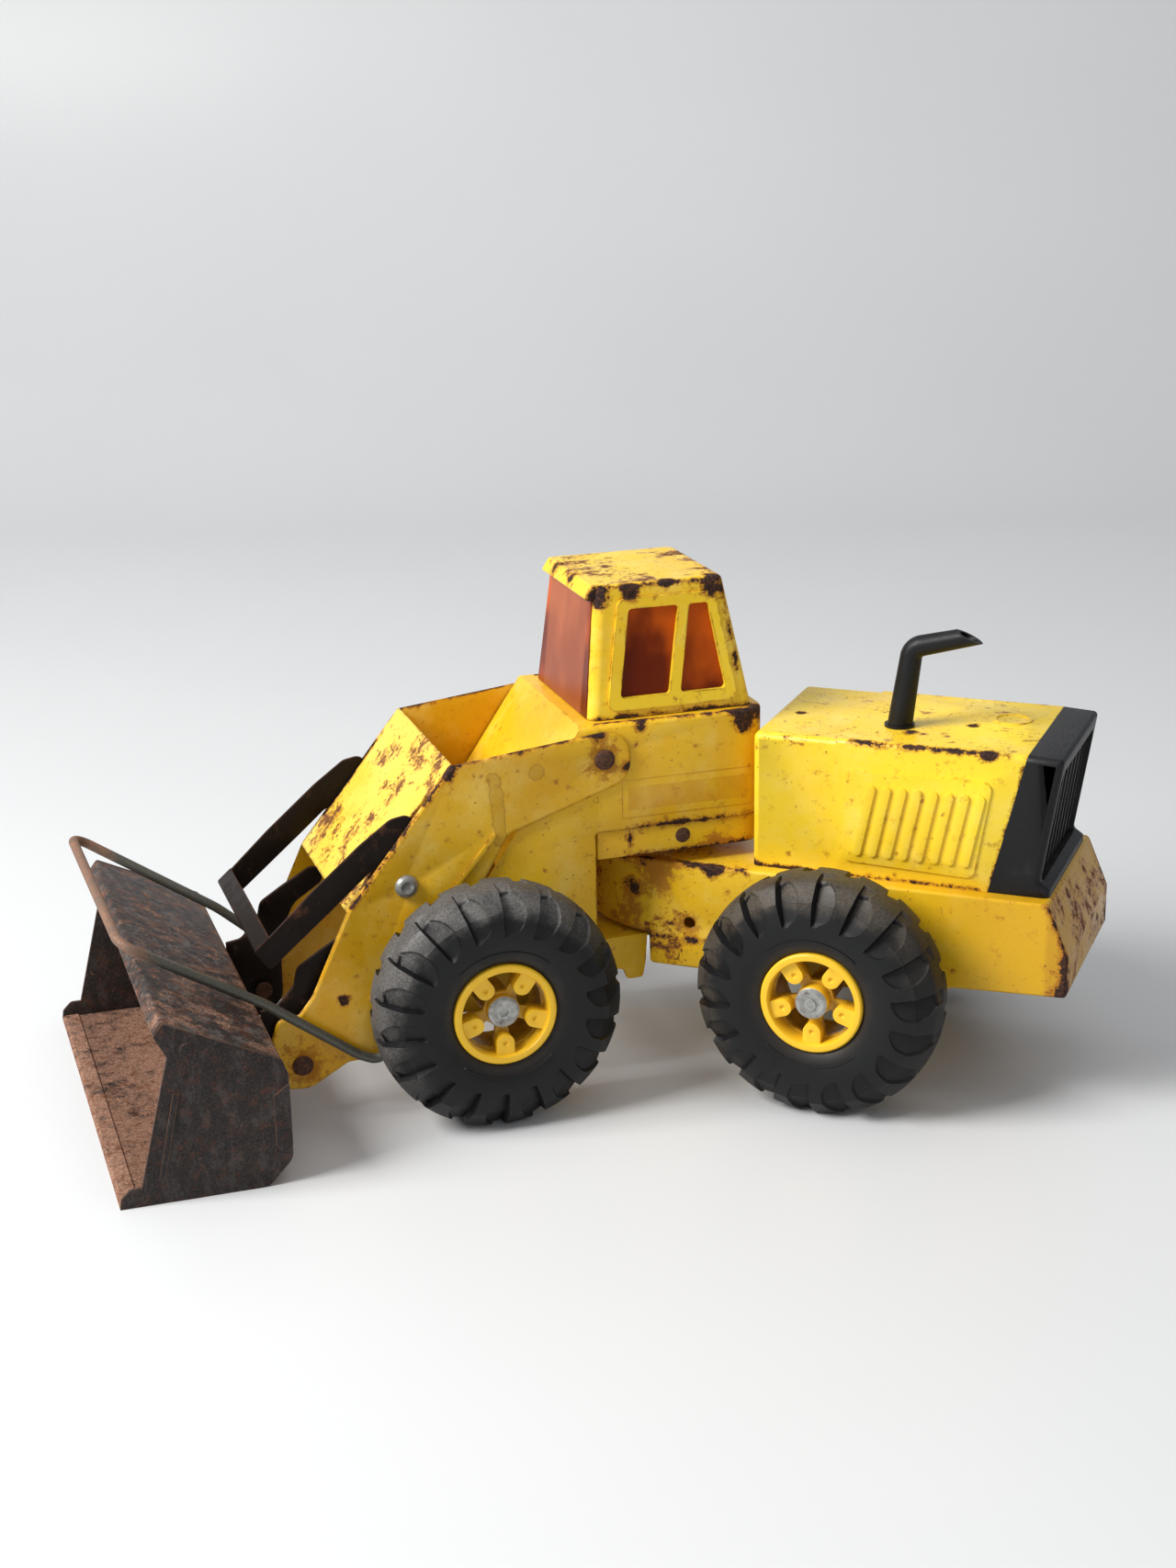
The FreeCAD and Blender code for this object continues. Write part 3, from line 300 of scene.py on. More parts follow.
def enamel(name, section, chips, seams, density, wear, age_and_shade, stains=(), shift=0.0, marks_and_light=None):
    """Yellow enamel that chips to rust at its edges, at the chips and along the seams.

    The stains are brown without chipping. density, a function of the shader, says where rust specks
    are thick, from 0 to 1, age how far the colour has deepened, partly from ageing and partly as
    painted shade on the pieces whose sides stand in shade, and wear how far its edges have
    chipped. marked, a function of the shader and the colour, adds marks under the rust, and on
    some pieces painted light and painted shade.
    """
    s = Shader(name, section)
    broad = s.noise(70, 2.0, shift=shift)
    # the yellow deepens at random, and further on the pieces set to deepen far, which is partly painted
    # shade
    color = s.mix(s.ramp(broad, 0.3, 0.7, age_and_shade - 0.18, age_and_shade + 0.18), YELLOW, YELLOW_DEEP)
    chalk = s.ramp(s.noise(22, 5.0, 0.65, shift=shift + 9), 0.45, 0.75, 0.0, CHALK)
    color = s.mix(chalk, color, YELLOW_PALE)
    if marks_and_light:
        color = marks_and_light(s, color)
    ragged = s.noise(6.0, 6.0, 0.75, shift=shift + 31)
    fine = s.noise(1.6, 4.0, 0.7, shift=shift + 57)
    patch = s.ramp(s.noise(15, 5.0, 0.65, shift=shift + 77), 0.38, 0.62)
    field = s.math("MULTIPLY", s.math("MULTIPLY", s.edge(2.0), patch), 4.0 * wear)
    chipped = s.math("MAXIMUM", s.around(chips), 0.0)
    field = s.math("ADD", field, s.math("MULTIPLY", chipped, 1.7))
    parted = s.math("MAXIMUM", s.along(seams), 0.0)
    field = s.math("ADD", field, s.math("MULTIPLY", parted, s.ramp(patch, 0.0, 1.0, 0.75, 1.35)))
    grain = s.math("ADD", s.math("MULTIPLY", ragged, 3.1), s.math("MULTIPLY", fine, 1.0))
    level = s.math("ADD", field, s.math("SUBTRACT", grain, 1.55))
    stained = level
    if stains:
        brown = s.math("MAXIMUM", s.around(stains), 0.0)
        stained = s.math("ADD", level, s.math("MULTIPLY", brown, 1.05))
    halo = s.ramp(stained, 0.66, 1.32)
    bare = s.ramp(level, 1.32, 1.38)
    uneven = s.ramp(s.noise(26, 4.0, 0.6, shift=shift + 5), 0.34, 0.64, 0.2, 1.0)
    thick = s.math("MULTIPLY", density(s), uneven)
    tiny = s.noise(2.1, 4.0, 0.62, shift=shift + 83)
    grit = s.math("SUBTRACT", tiny, s.ramp(thick, 0.0, 1.0, 0.74, 0.575))
    spots = s.math("MAXIMUM", specks(s, 12.0, 0.34, thick, shift), s.math("MULTIPLY", grit, 2.2))
    dots = s.ramp(spots, 0.0, 0.05)
    rings = s.ramp(spots, -0.16, 0.0)
    blot = s.noise(7.0, 6.0, 0.72, (0.6, 1.0, 1.0), shift + 97)
    blot = s.math("SUBTRACT", blot, s.ramp(thick, 0.1, 1.0, 0.71, 0.485))
    rings = s.math("MAXIMUM", rings, s.ramp(blot, -0.05, 0.03))
    dots = s.math("MAXIMUM", dots, s.ramp(blot, 0.05, 0.07, 0.0, 0.9))
    color = s.mix(s.math("MULTIPLY", s.math("MAXIMUM", halo, rings), 0.8), color, STAIN)
    rusty = s.mix(s.ramp(fine, 0.42, 0.66), RUST_DARK, RUST)
    rust = s.math("MAXIMUM", bare, dots)
    color = s.mix(dots, color, s.mix(s.ramp(fine, 0.40, 0.62), RUST, RUST_SPECK))
    color = s.mix(bare, color, rusty)
    gloss = s.ramp(s.noise(12, 4.0, shift=shift + 3), 0.3, 0.7, 0.27, 0.42)
    rough = s.math("MAXIMUM", gloss, s.math("MULTIPLY", s.math("MAXIMUM", rust, halo), 0.85))
    height = s.math("SUBTRACT", s.math("MULTIPLY", s.noise(2.2, 3.0), 0.10), rust)
    s.bump(height, 0.8, 0.25)
    return s.done(color, rough, Specular_IOR_Level=0.32)


def rusted_steel(name, light, streak=(1.0, 1.0, 1.0), shift=0.0, grey_above=1000.0):
    """Bare dark steel with grainy orange rust; light sets how much.

    Above the height grey_above it is greyer, with less rust.
    """
    s = Shader(name)
    ragged = s.noise(7, 7.0, 0.76, streak, shift=12 + shift)
    fine = s.noise(0.9, 5.0, 0.75, shift=4)
    cloud = s.noise(24, 4.0, 0.6, shift=40 + shift)
    dark = s.mix(s.ramp(fine, 0.3, 0.7), *STEEL)
    scuff = s.ramp(s.noise(6.5, 7.0, 0.78, streak, shift=90 + shift), 0.48, 0.62)
    upper = s.ramp(s.split(s.spot)[2], grey_above, grey_above + 4)
    grey = s.mix(fine, *STEEL_SCUFFED)
    dark = s.mix(s.math("MULTIPLY", scuff, s.ramp(upper, 0.0, 1.0, 0.30, 0.9)), dark, grey)
    orange = s.mix(s.ramp(fine, 0.32, 0.68), *ORANGE_RUST)
    value = s.math("ADD", s.math("MULTIPLY", ragged, 0.75), s.math("MULTIPLY", cloud, 0.35))
    value = s.math("SUBTRACT", value, s.math("MULTIPLY", upper, 0.15))
    amount = s.ramp(s.math("ADD", value, s.math("MULTIPLY", fine, 0.25)), 0.92 - 0.40 * light,
                    1.00 - 0.28 * light)
    color = s.mix(amount, dark, orange)
    deep = s.ramp(s.noise(5.5, 8.0, 0.80, shift=71 + shift), 0.51, 0.62, 0.0, 0.20 + 0.50 * light)
    color = s.mix(deep, color, s.mix(fine, *DEEP_RUST))
    turned_edge = s.math("ADD", s.edge(1.1), s.math("MULTIPLY", s.math("SUBTRACT", ragged, 0.5), 0.5))
    color = s.mix(s.ramp(turned_edge, 0.08, 0.26, 0.0, 0.8), color, STEEL_EDGE)
    s.bump(s.math("ADD", fine, s.math("MULTIPLY", ragged, 0.8)), 0.7, 0.35)
    return s.done(color, s.ramp(amount, 0.0, 1.0, 0.52, 0.88), Specular_IOR_Level=0.22)


def worn_black(name):
    """Black paint, rubbed brown at its edges."""
    s = Shader(name)
    fine = s.noise(2.0, 5.0, 0.7)
    wear = s.math("ADD", s.math("MULTIPLY", s.edge(1.0), 1.6), s.noise(11, 5.0, 0.7, shift=8))
    color = s.mix(fine, *BLACK_PAINT)
    color = s.mix(s.ramp(wear, 0.54, 0.80), color, BLACK_WORN)
    s.bump(fine, 0.5, 0.15)
    return s.done(color, s.ramp(wear, 0.4, 0.8, 0.42, 0.78), Specular_IOR_Level=0.12)


def plated_wire(name, rusty_from):
    """Aged plated wire that turns orange beyond x = rusty_from."""
    s = Shader(name)
    x = s.split(s.spot)[0]
    fine = s.noise(1.6, 5.0, 0.7)
    color = s.mix(fine, *WIRE)
    place = s.math("ADD", x, s.math("MULTIPLY", s.noise(14, 4.0, shift=3), 24.0))
    amount = s.ramp(place, rusty_from + 6, rusty_from + 16)
    orange = s.mix(fine, *WIRE_RUST)
    amount = s.math("MULTIPLY", amount, s.ramp(s.noise(6, 5.0, 0.7, shift=17), 0.30, 0.62, 1.0, 0.45))
    color = s.mix(amount, color, orange)
    s.bump(fine, 0.5, 0.15)
    return s.done(color, s.ramp(amount, 0.0, 1.0, 0.42, 0.8), 0.35)


def rusty_rivet(name):
    """Rivet head rusted all over."""
    s = Shader(name)
    fine = s.noise(1.5, 5.0, 0.7)
    color = s.mix(s.ramp(fine, 0.3, 0.7), *RIVET_RUST)
    s.bump(fine, 0.8, 0.3)
    return s.done(color, 0.8, 0.2)


def zinc(name):
    """Dull plated steel, bright along its edges."""
    s = Shader(name)
    fine = s.noise(2.4, 5.0, 0.7)
    color = s.mix(s.ramp(fine, 0.35, 0.7), *ZINC)
    color = s.mix(s.ramp(s.noise(6, 4.0, shift=8), 0.55, 0.72), color, ZINC_GRIME)
    color = s.mix(s.ramp(s.edge(0.8), 0.04, 0.2), color, ZINC_EDGE)
    s.bump(fine, 0.25, 0.06)
    return s.done(color, s.ramp(fine, 0.3, 0.7, 0.34, 0.55), 0.75)


def tyre_black(name, section, centre):
    """Soft black moulding, with dust on the tread, most of it up and forward: dust that settles from
    above, and painted light on the forward side, which faces the key light.

    centre is the axle's middle point.
    """
    s = Shader(name, section)
    x, _, z = s.split(s.vector("SUBTRACT", s.spot, centre))
    radius = s.math("SQRT", s.math("ADD", s.math("MULTIPLY", x, x), s.math("MULTIPLY", z, z)))
    fine = s.noise(0.9, 4.0, 0.75)
    cloud = s.noise(15, 5.0, 0.65, shift=21)
    color = s.mix(cloud, *TYRE)
    edge = s.math("ADD", radius, s.math("MULTIPLY", s.math("SUBTRACT", cloud, 0.5), 22.0))
    # dust from above, plus painted light: more of it forward, on the side that faces the key light
    settled_and_lit = s.ramp(s.math("ADD", s.math("MULTIPLY", x, 0.7), z), -35.0, 50.0, 0.10, 1.0)
    settled_and_lit = s.math("MULTIPLY", settled_and_lit, s.ramp(cloud, 0.25, 0.6, 0.6, 0.95))
    dust = s.math("MULTIPLY", s.ramp(edge, 45.0, 57.0), settled_and_lit)
    color = s.mix(dust, color, s.mix(s.ramp(fine, 0.3, 0.7), *TYRE_DUST[section]))
    brown_share = s.ramp(s.math("ADD", radius, s.math("MULTIPLY", cloud, 8.0)), 28.0, 37.0, 0.6, 0.0)
    color = s.mix(brown_share, color, TYRE_GRIME)
    scuff = s.ramp(s.noise(3.0, 6.0, 0.8, shift=66), 0.62, 0.74, 0.0, 0.5)
    scuff = s.math("MULTIPLY", scuff, s.ramp(s.noise(26, 2.0, shift=11), 0.5, 0.65))
    color = s.mix(scuff, color, TYRE_SCUFF)
    s.bump(s.math("ADD", fine, s.noise(5, 3.0)), 0.2, 0.15)
    return s.done(color, s.ramp(cloud, 0.3, 0.7, 0.42, 0.60), Specular_IOR_Level=0.3)


def rim_yellow(name, section):
    """Moulded yellow rim, browner in its recess, with dust and with painted shade between the spokes."""
    s = Shader(name, section)
    raised = s.ramp(s.math("ABSOLUTE", s.split(s.spot)[1]), 88.0, 96.0)
    cloud = s.noise(9, 5.0, 0.65)
    color = s.mix(cloud, *RIM)
    # dust and painted shade: the recess below the raised face turns dark brown
    brown_share = s.math("MULTIPLY", s.math("SUBTRACT", 1.0, raised), s.ramp(cloud, 0.3, 0.7, 0.25, 0.75))
    color = s.mix(brown_share, color, RIM_RECESS_DUST_AND_SHADE)
    s.bump(s.noise(2, 3.0), 0.3, 0.1)
    return s.done(color, s.ramp(cloud, 0.3, 0.7, 0.38, 0.52))


def satin_black(name, section):
    """Moulded black plastic with a fine grain, patches of dust and a few scratches."""
    s = Shader(name, section)
    fine = s.noise(1.1, 4.0, 0.7)
    cloud = s.noise(14, 5.0, 0.65)
    color = s.mix(cloud, *PLASTIC)
    color = s.mix(s.ramp(cloud, 0.58, 0.78, 0.0, 0.35), color, PLASTIC_DUST)
    scratch = s.ramp(s.noise(3.4, 6.0, 0.8, (1.0, 1.0, 0.35), 17), 0.66, 0.76, 0.0, 0.5)
    color = s.mix(scratch, color, PLASTIC_SCRATCH)
    s.bump(fine, 0.4, 0.12)
    return s.done(color, s.ramp(fine, 0.3, 0.7, 0.38, 0.55), Specular_IOR_Level=0.28)


def amber(name):
    """Tinted window plastic, deeper in colour at the sides and darker low down."""
    s = Shader(name)
    _, y, z = s.split(s.spot)
    cloud = s.math("ADD", s.noise(30, 3.0, 0.5, (1.0, 1.0, 0.6), 14), s.ramp(z, 196.0, 236.0, -0.16, 0.12))
    shade = s.ramp(cloud, 0.34, 0.62)
    pane_across = s.math("LESS_THAN", s.math("ABSOLUTE", y), 30.0)
    color = s.mix(pane_across, s.mix(shade, *SIDE_TINT), s.mix(shade, *FRONT_TINT))
    dust = s.ramp(s.noise(4, 6.0, 0.75, shift=9), 0.60, 0.8, 0.0, 0.25)
    color = s.mix(dust, color, TINT_DUST)
    s.bump(s.noise(20, 2.0), 0.2, 0.4)
    return s.done(color, s.ramp(dust, 0.0, 0.25, 0.30, 0.55), Specular_IOR_Level=0.16)


# ---------------------------------------------------------------- mesh helpers

def smooth_below(mesh, degrees):
    """Smooth shading, except across edges that turn more than an angle."""
    for polygon in mesh.polygons:
        polygon.use_smooth = True
    mesh.set_sharp_from_angle(angle=math.radians(degrees))


def finish_piece(name, mesh, section, body, material, nodes):
    """Moves a mesh from its section's millimetres into the row frame and rides it on its body."""
    mesh.transform(SECTIONS[section] @ Matrix.Scale(MM, 4))
    mesh.update()
    smooth_below(mesh, TYRE_SHARP)
    made = bpy.data.objects.new(name, mesh)
    bpy.context.scene.collection.objects.link(made)
    mesh.materials.append(material)
    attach(made, body)
    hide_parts(*nodes)


def grid_mesh(name, rows, wrap_rows=False, wrap_columns=False):
    """Mesh through a grid of points, rows[i][j]."""
    points = [point for row in rows for point in row]
    high, wide = len(rows), len(rows[0])
    faces = []
    for i in range(high if wrap_rows else high - 1):
        for j in range(wide if wrap_columns else wide - 1):
            a = i * wide + j
            b = i * wide + (j + 1) % wide
            c = ((i + 1) % high) * wide + (j + 1) % wide
            d = ((i + 1) % high) * wide + j
            faces.append((a, b, c, d))
    mesh = bpy.data.meshes.new(name)
    mesh.from_pydata(points, [], faces)
    return mesh


def blend_in(value, low, high):
    """Smooth step of a plain number."""
    share = min(max((value - low) / (high - low), 0.0), 1.0)
    return share * share * (3 - 2 * share)


# ---------------------------------------------------------------- tyres

LUGS = 18
AXLE_HEIGHT = 60.0
TYRE_MIDDLE = 80.25  # from the toy's middle plane to a tyre's
TYRE_SHARP = 27.0  # degrees of turn that stay a crease
# half profile of a tyre (across, radius): crown and shoulder down to the crease, then the sidewall
CROWN = [(0.0, 59.95), (4.5, 59.8), (8.5, 59.2), (11.5, 57.8), (18.1, 51.0)]
WALL = [(18.1, 51.0), (19.0, 47.0), (19.6, 43.0), (19.7, 38.5), (19.2, 34.0), (18.0, 29.6), (16.6, 26.6),
        (15.4, 25.15)]
BORE_RADIUS = 25.05
BORE_STATIONS = (15.2, 5.0, -5.0, -15.2)
PROFILE_SPACING = 0.85
# raised ring on the sidewall, between the first and the last of these radii, broken into two arcs
RIDGE_RADII = (32.1, 31.8, 31.1, 30.8)
RIDGE_HEIGHT = 0.45
# scoop between two lugs, at lengths along the profile from the crown: share of the pitch, and depth
SCOOP_WIDTH = [(1.0, 0.34), (9.0, 0.30), (11.0, 0.40), (14.0, 0.52), (18.0, 0.61), (22.0, 0.64),
               (27.0, 0.62), (29.5, 0.54), (31.3, 0.40), (32.6, 0.22), (40.0, 0.22)]
SCOOP_DEPTH = [(0.8, 0.0), (2.2, 1.5), (7.2, 2.2), (9.0, 4.4), (21.0, 4.3), (27.0, 3.2), (31.3, 2.3),
               (32.4, 1.5), (33.0, 0.0)]
# the scoop's own columns, from its steep edge to its low one, as shares of its width
SCOOP_COLUMNS = (0.0, 0.13, 0.24, 0.36, 0.50, 0.66, 0.82, 0.94, 1.0)
SCOOP_LAST = len(SCOOP_COLUMNS) - 1
PITCH_COLUMNS = 16
LOW_EDGE_LOSS = 0.68  # share of its depth that the scoop loses towards its low edge
# faces inside the scoop drawn in plain black without dust, as painted shadow: its steep wall, and the
# first columns of its upper end
STEEP_WALL = (1.5, 32.0)
UPPER_END = (7.6, 9.0)
UPPER_END_COLUMNS = 6


def table(value, rows):
    """Straight-line reading of a small table of (position, value)."""
    if value <= rows[0][0]:
        return rows[0][1]
    for (a, low), (b, high) in zip(rows, rows[1:]):
        if value <= b:
            return low + (high - low) * (value - a) / (b - a)
    return rows[-1][1]


def divided(points, spacing):
    """The same run of points with more of them, about spacing apart, on a smooth curve."""
    fine = []
    for i in range(len(points) - 1):
        before, start = Vector(points[max(i - 1, 0)]), Vector(points[i])
        end, after = Vector(points[i + 1]), Vector(points[min(i + 2, len(points) - 1)])
        count = max(1, round((end - start).length / spacing))
        for k in range(count):
            t = k / count
            fine.append(0.5 * (2 * start + (end - before) * t
                               + (2 * before - 5 * start + 4 * end - after) * t * t
                               + (3 * start - before - 3 * end + after) * t ** 3))
    fine.append(Vector(points[-1]))
    return fine


def with_radii(points, radii):
    """The profile's points with one more at each of the radii."""
    for radius in radii:
        for k in range(len(points) - 1):
            if points[k].y > radius > points[k + 1].y:
                share = (points[k].y - radius) / (points[k].y - points[k + 1].y)
                points.insert(k + 1, points[k].lerp(points[k + 1], share))
                break
    return points


def tread(column, run):
    """Where a column lies back from its pitch's steep edge, as a share of it, and how deep it is."""
    width = table(run, SCOOP_WIDTH)
    if column <= SCOOP_LAST:
        back = SCOOP_COLUMNS[column] * width
    else:
        back = width + (1 - width) * (column - SCOOP_LAST) / (PITCH_COLUMNS - SCOOP_LAST)
    even = column / PITCH_COLUMNS
    back = even + (back - even) * blend_in(run, 0.0, 2.0)
    depth = 0.0
    if 0 < column < SCOOP_LAST:
        depth = table(run, SCOOP_DEPTH) * (1 - LOW_EDGE_LOSS * SCOOP_COLUMNS[column])
    return back, depth


def in_clean_shadow_face(column, run):
    """Whether the face that starts at a column and a run is one of the scoop's dustless faces, drawn in
    plain black as painted shadow.
    """
    wall = column == 0 and STEEP_WALL[0] < run < STEEP_WALL[1]
    end = 0 < column < UPPER_END_COLUMNS and UPPER_END[0] < run < UPPER_END[1]
    return wall or end


def half_profile():
    """Points of a tyre's half profile, how far along it each is, and which way is out of it."""
    outer = divided(CROWN, PROFILE_SPACING)[:-1] + divided(WALL, PROFILE_SPACING)
    points = with_radii(outer, RIDGE_RADII)
    runs = [0.0]
    for before, after in zip(points, points[1:]):
        runs.append(runs[-1] + (after - before).length)
    outwards = []
    for k in range(len(points)):
        ahead = points[min(k + 1, len(points) - 1)] - points[max(k - 1, 0)]
        outwards.append(Vector((-ahead.y, ahead.x)).normalized())
    return points, runs, outwards


def tyre(wheel, section, centre_x, side, dusty, clean_shadow):
    """Treaded tyre about the axle at x = centre_x; side is 1 on the left, -1 on the right."""
    half, runs, outwards = half_profile()

    def placed(radius, angle, across):
        """A point at a radius and an angle from straight up, across from the tyre's middle."""
        x = centre_x - side * radius * math.sin(angle)
        return (x, side * (TYRE_MIDDLE + across), AXLE_HEIGHT + radius * math.cos(angle))

    rows = []
    clean_shadow_faces = []
    for i in range(LUGS * PITCH_COLUMNS):
        turn = i // PITCH_COLUMNS
        row = []
        for flank in (-1, 1):
            shift = PITCH_COLUMNS // 2 if flank < 0 else 0
            column = (i + shift) % PITCH_COLUMNS
            lead = (i % PITCH_COLUMNS - column) / PITCH_COLUMNS
            part = []
            for point, outward, run in zip(half, outwards, runs):
                back, depth = tread(column, run)
                angle = 2 * math.pi * (turn + lead + back) / LUGS
                lift = -depth
                if RIDGE_RADII[-1] < point.y < RIDGE_RADII[0] and math.cos(2 * angle) > 0.1:
                    lift = RIDGE_HEIGHT
                spot = point + outward * lift
                part.append(placed(spot.y, angle, flank * spot.x))
            row += part[::-1] if flank < 0 else part[1:]
            for k, run in enumerate(runs[:-1]):
                if in_clean_shadow_face(column, run):
                    step = len(half) - 2 - k if flank < 0 else len(half) - 1 + k
                    clean_shadow_faces.append((i, step))
        angle = 2 * math.pi * i / (LUGS * PITCH_COLUMNS)
        row += [placed(BORE_RADIUS, angle, across) for across in BORE_STATIONS]
        rows.append(row)
    mesh = grid_mesh(f"{wheel}_tyre_tread", rows, wrap_rows=True, wrap_columns=True)
    fix_normals(mesh)
    finish_piece(f"{wheel}_tyre_tread", mesh, section, f"{wheel}_wheel", dusty,
                 [f"{wheel}_tyre"])
    # the scoops' steep walls and upper ends take the second material: plain black, as painted shadow
    mesh.materials.append(clean_shadow)
    for i, step in clean_shadow_faces:
        mesh.polygons[i * len(rows[0]) + step].material_index = 1


def fix_normals(mesh):
    """Turns all the faces outwards."""
    work = bmesh.new()
    work.from_mesh(mesh)
    bmesh.ops.recalc_face_normals(work, faces=work.faces)
    work.to_mesh(mesh)
    work.free()


# ---------------------------------------------------------------- build

WELD_WITHIN = 0.00001  # metres
EASED_ABOVE = 40.0  # degrees of turn at an edge
CAD_SHARP = 35.0


def soften(node, width, material):
    """Paints a CAD node, and eases its edges by a width in millimetres, if there is one."""
    item = frame["nodes"][node]
    item.data.materials.clear()
    item.data.materials.append(material)
    if width:
        weld = item.modifiers.new("weld", "WELD")
        weld.merge_threshold = WELD_WITHIN
        bevel = item.modifiers.new("ease", "BEVEL")
        bevel.width = width * MM
        bevel.segments = 2
        bevel.limit_method = "ANGLE"
        bevel.angle_limit = math.radians(EASED_ABOVE)
    smooth_below(item.data, CAD_SHARP)


def boom_light_and_marks(s, color):
    """Painted light: a paler top plate, which faces the key light; and a dried drop and run on the arms'
    left side.
    """
    # painted light: the plate between the arms is drawn paler, as if lit by the key light
    lit_plate = s.math("LESS_THAN", s.math("ABSOLUTE", s.split(s.spot)[1]), 51.0)
    color = s.mix(s.math("MULTIPLY", lit_plate, 0.6), color, YELLOW_PLATE_LIT)
    drop = s.around([(97, 53.6, 163, 5)])
    run = s.along([((119, 53.6, 161), (116, 53.6, 131), 4.5)])
    wet = s.math("MAXIMUM", drop, run)
    wet = s.math("ADD", wet, s.math("MULTIPLY", s.math("SUBTRACT", s.noise(7, 4.0, shift=44), 0.5), 1.6))
    rim = s.ramp(s.math("ABSOLUTE", s.math("SUBTRACT", wet, 0.34)), 0.04, 0.16, 0.55, 0.0)
    inside = s.ramp(wet, 0.30, 0.5, 0.0, 0.28)
    return s.mix(s.math("MAXIMUM", rim, inside), color, DRIED_DROP)


def tower_density(_):
    """Even all over."""
    return 0.36


def cab_density(s):
    """Thick on the roof."""
    z = s.split(s.spot)[2]
    return s.ramp(z, 238.0, 246.0, 0.22, 1.0)


def boom_density(s):
    """Thick on the plate between the arms."""
    between = s.math("LESS_THAN", s.math("ABSOLUTE", s.split(s.spot)[1]), 52.0)
    return s.math("ADD", 0.30, s.math("MULTIPLY", between, 0.62))


def tail_painted_shade(s, color):
    """Painted shade: the tail is darker towards its rear, and darkest on its slanting back, which faces
    away from the key light.
    """
    x = s.split(s.spot)[0]
    # painted shade: darker towards the rear, darkest on the slanting back, which faces away from the key
    # light
    color = s.mix(s.ramp(x, -120.0, -170.0, 0.0, 0.9), color, YELLOW_TAIL_SHADE)
    return s.mix(s.ramp(x, -193.0, -196.0, 0.0, 0.45), color, YELLOW_TAIL_BACK_SHADE)


def tail_density(s):
    """Thick on the tail's back and towards the nose."""
    x = s.split(s.spot)[0]
    return s.math("ADD", s.ramp(x, -198.0, -190.0, 0.95, 0.30), s.ramp(x, -60.0, 0.0, 0.0, 0.45))


def hood_density(s):
    """Thick on top, and nearly none on the sides."""
    z = s.split(s.spot)[2]
    return s.ramp(z, 160.0, 176.0, 0.04, 0.58)


def both_sides(lines):
    """The same lines (start, end, reach) on the left and on the right."""
    mirrored = [((a[0], -a[1], a[2]), (b[0], -b[1], b[2]), reach) for a, b, reach in lines]
    return list(lines) + mirrored


# each piece's yellow is deepened partly by ageing and partly as painted shade: most on the boom and the
# front body, whose sides stand in shade, least on the hood and the cab
paint_front = enamel(
    "enamel_front", "front", wear=0.9, age_and_shade=0.72, marks_and_light=tower_decal, density=tower_density,
    chips=[(-9, 51.5, 177, 10), (-16, 45, 179, 8), (44, 51, 179, 5), (-6, -51.5, 176, 7)],
    stains=[(4, 51, 112, 14), (63.5, 52, 165, 12), (48, 50, 100, 16), (4, -51, 112, 14)],
    seams=both_sides([((-22, 51.5, 127.8), (50, 51.5, 127.8), 3.8),
                      ((-20, 50, 181), (66, 48, 181), 3.0),
                      ((50, 50.2, 100), (50, 50.2, 128), 3.6),
                      ((-28, 50.2, 113.5), (50, 50.2, 113.5), 3.6)]))
paint_cab = enamel(
    "enamel_cab", "front", wear=0.8, shift=13, age_and_shade=0.30, density=cab_density,
    chips=[(61, 36, 240, 9), (44, 37, 241, 7), (2, 36, 240, 9), (1, 34, 245, 7), (25, 35, 245, 5),
           (62, -20, 242, 7), (63, 5, 243, 6)],
    seams=both_sides([((-16, 44.5, 182.5), (66, 44.5, 182.5), 3.0), ((-9, 42, 200), (-4, 38, 238), 4.0),
                      ((58, 36.5, 245), (0, 36.5, 245), 2.6)]))
paint_boom = enamel(
    "enamel_boom", "front", wear=1.0, shift=29, age_and_shade=0.86, density=boom_density, marks_and_light=boom_light_and_marks,
    chips=[(66, 53.6, 178, 6), (52, 53.6, 160, 4), (140, 53.6, 166, 5), (196, 53.6, 60, 5)],
    stains=[(63.5, 54, 165, 15), (217, 54, 29.4, 18), (63.5, -54, 165, 15), (217, -54, 29.4, 18)],
    seams=both_sides([((66, 53.6, 180), (138, 53.6, 170.5), 3.4), ((140, 53, 169), (190, 53, 106), 2.8),
                      ((150, 49.5, 158), (178, 49.5, 122), 4.0)]))
paint_rear = enamel(
    "enamel_rear", "rear", wear=1.0, shift=41, age_and_shade=0.50, density=tail_density, marks_and_light=tail_painted_shade,
    chips=[(-204, 52, 62, 9), (-205, 40, 98, 7), (-204, -52, 66, 9), (-30, 53, 104, 7), (12, 50, 90, 8)],
    stains=[(-17.8, 53, 75, 9), (0, 53, 100, 18), (16, 50, 76, 16), (-44, 53, 66, 12)],
    seams=both_sides([((-46, 53.3, 106), (20, 50, 106), 4.8), ((-50, 53.3, 66), (10, 52, 66), 3.6),
                      ((-204, 53, 60), (-204, 53, 104), 4.6),
                      ((-194.6, 53, 106), (-204.8, 53, 80), 4.0)]))
paint_hood = enamel(
    "enamel_hood", "rear", wear=0.22, shift=53, age_and_shade=0.16, density=hood_density,
    chips=[(-47.5, 45, 107, 5), (-146, 4, 175, 4.5), (-120, 24, 175, 6), (-163, 44, 173, 5),
           (-60, 6, 174.5, 4), (-112, 15, 175, 7)],
    seams=[((-95, 44.5, 174.0), (-172, 44.5, 174.0), 3.3), ((-47.5, 45, 107), (-160, 45.4, 107), 2.2),
           ((-95, -44.5, 174.0), (-172, -44.5, 174.0), 3.3), ((-180, 44, 174), (-165, 45, 107), 2.4)])
rust_side = rusted_steel("rusted_side", 0.30, (1.0, 1.0, 0.55))
rust_shell = rusted_steel("rusted_shell", 1.05, shift=35, grey_above=60.0)
black = worn_black("worn_black")
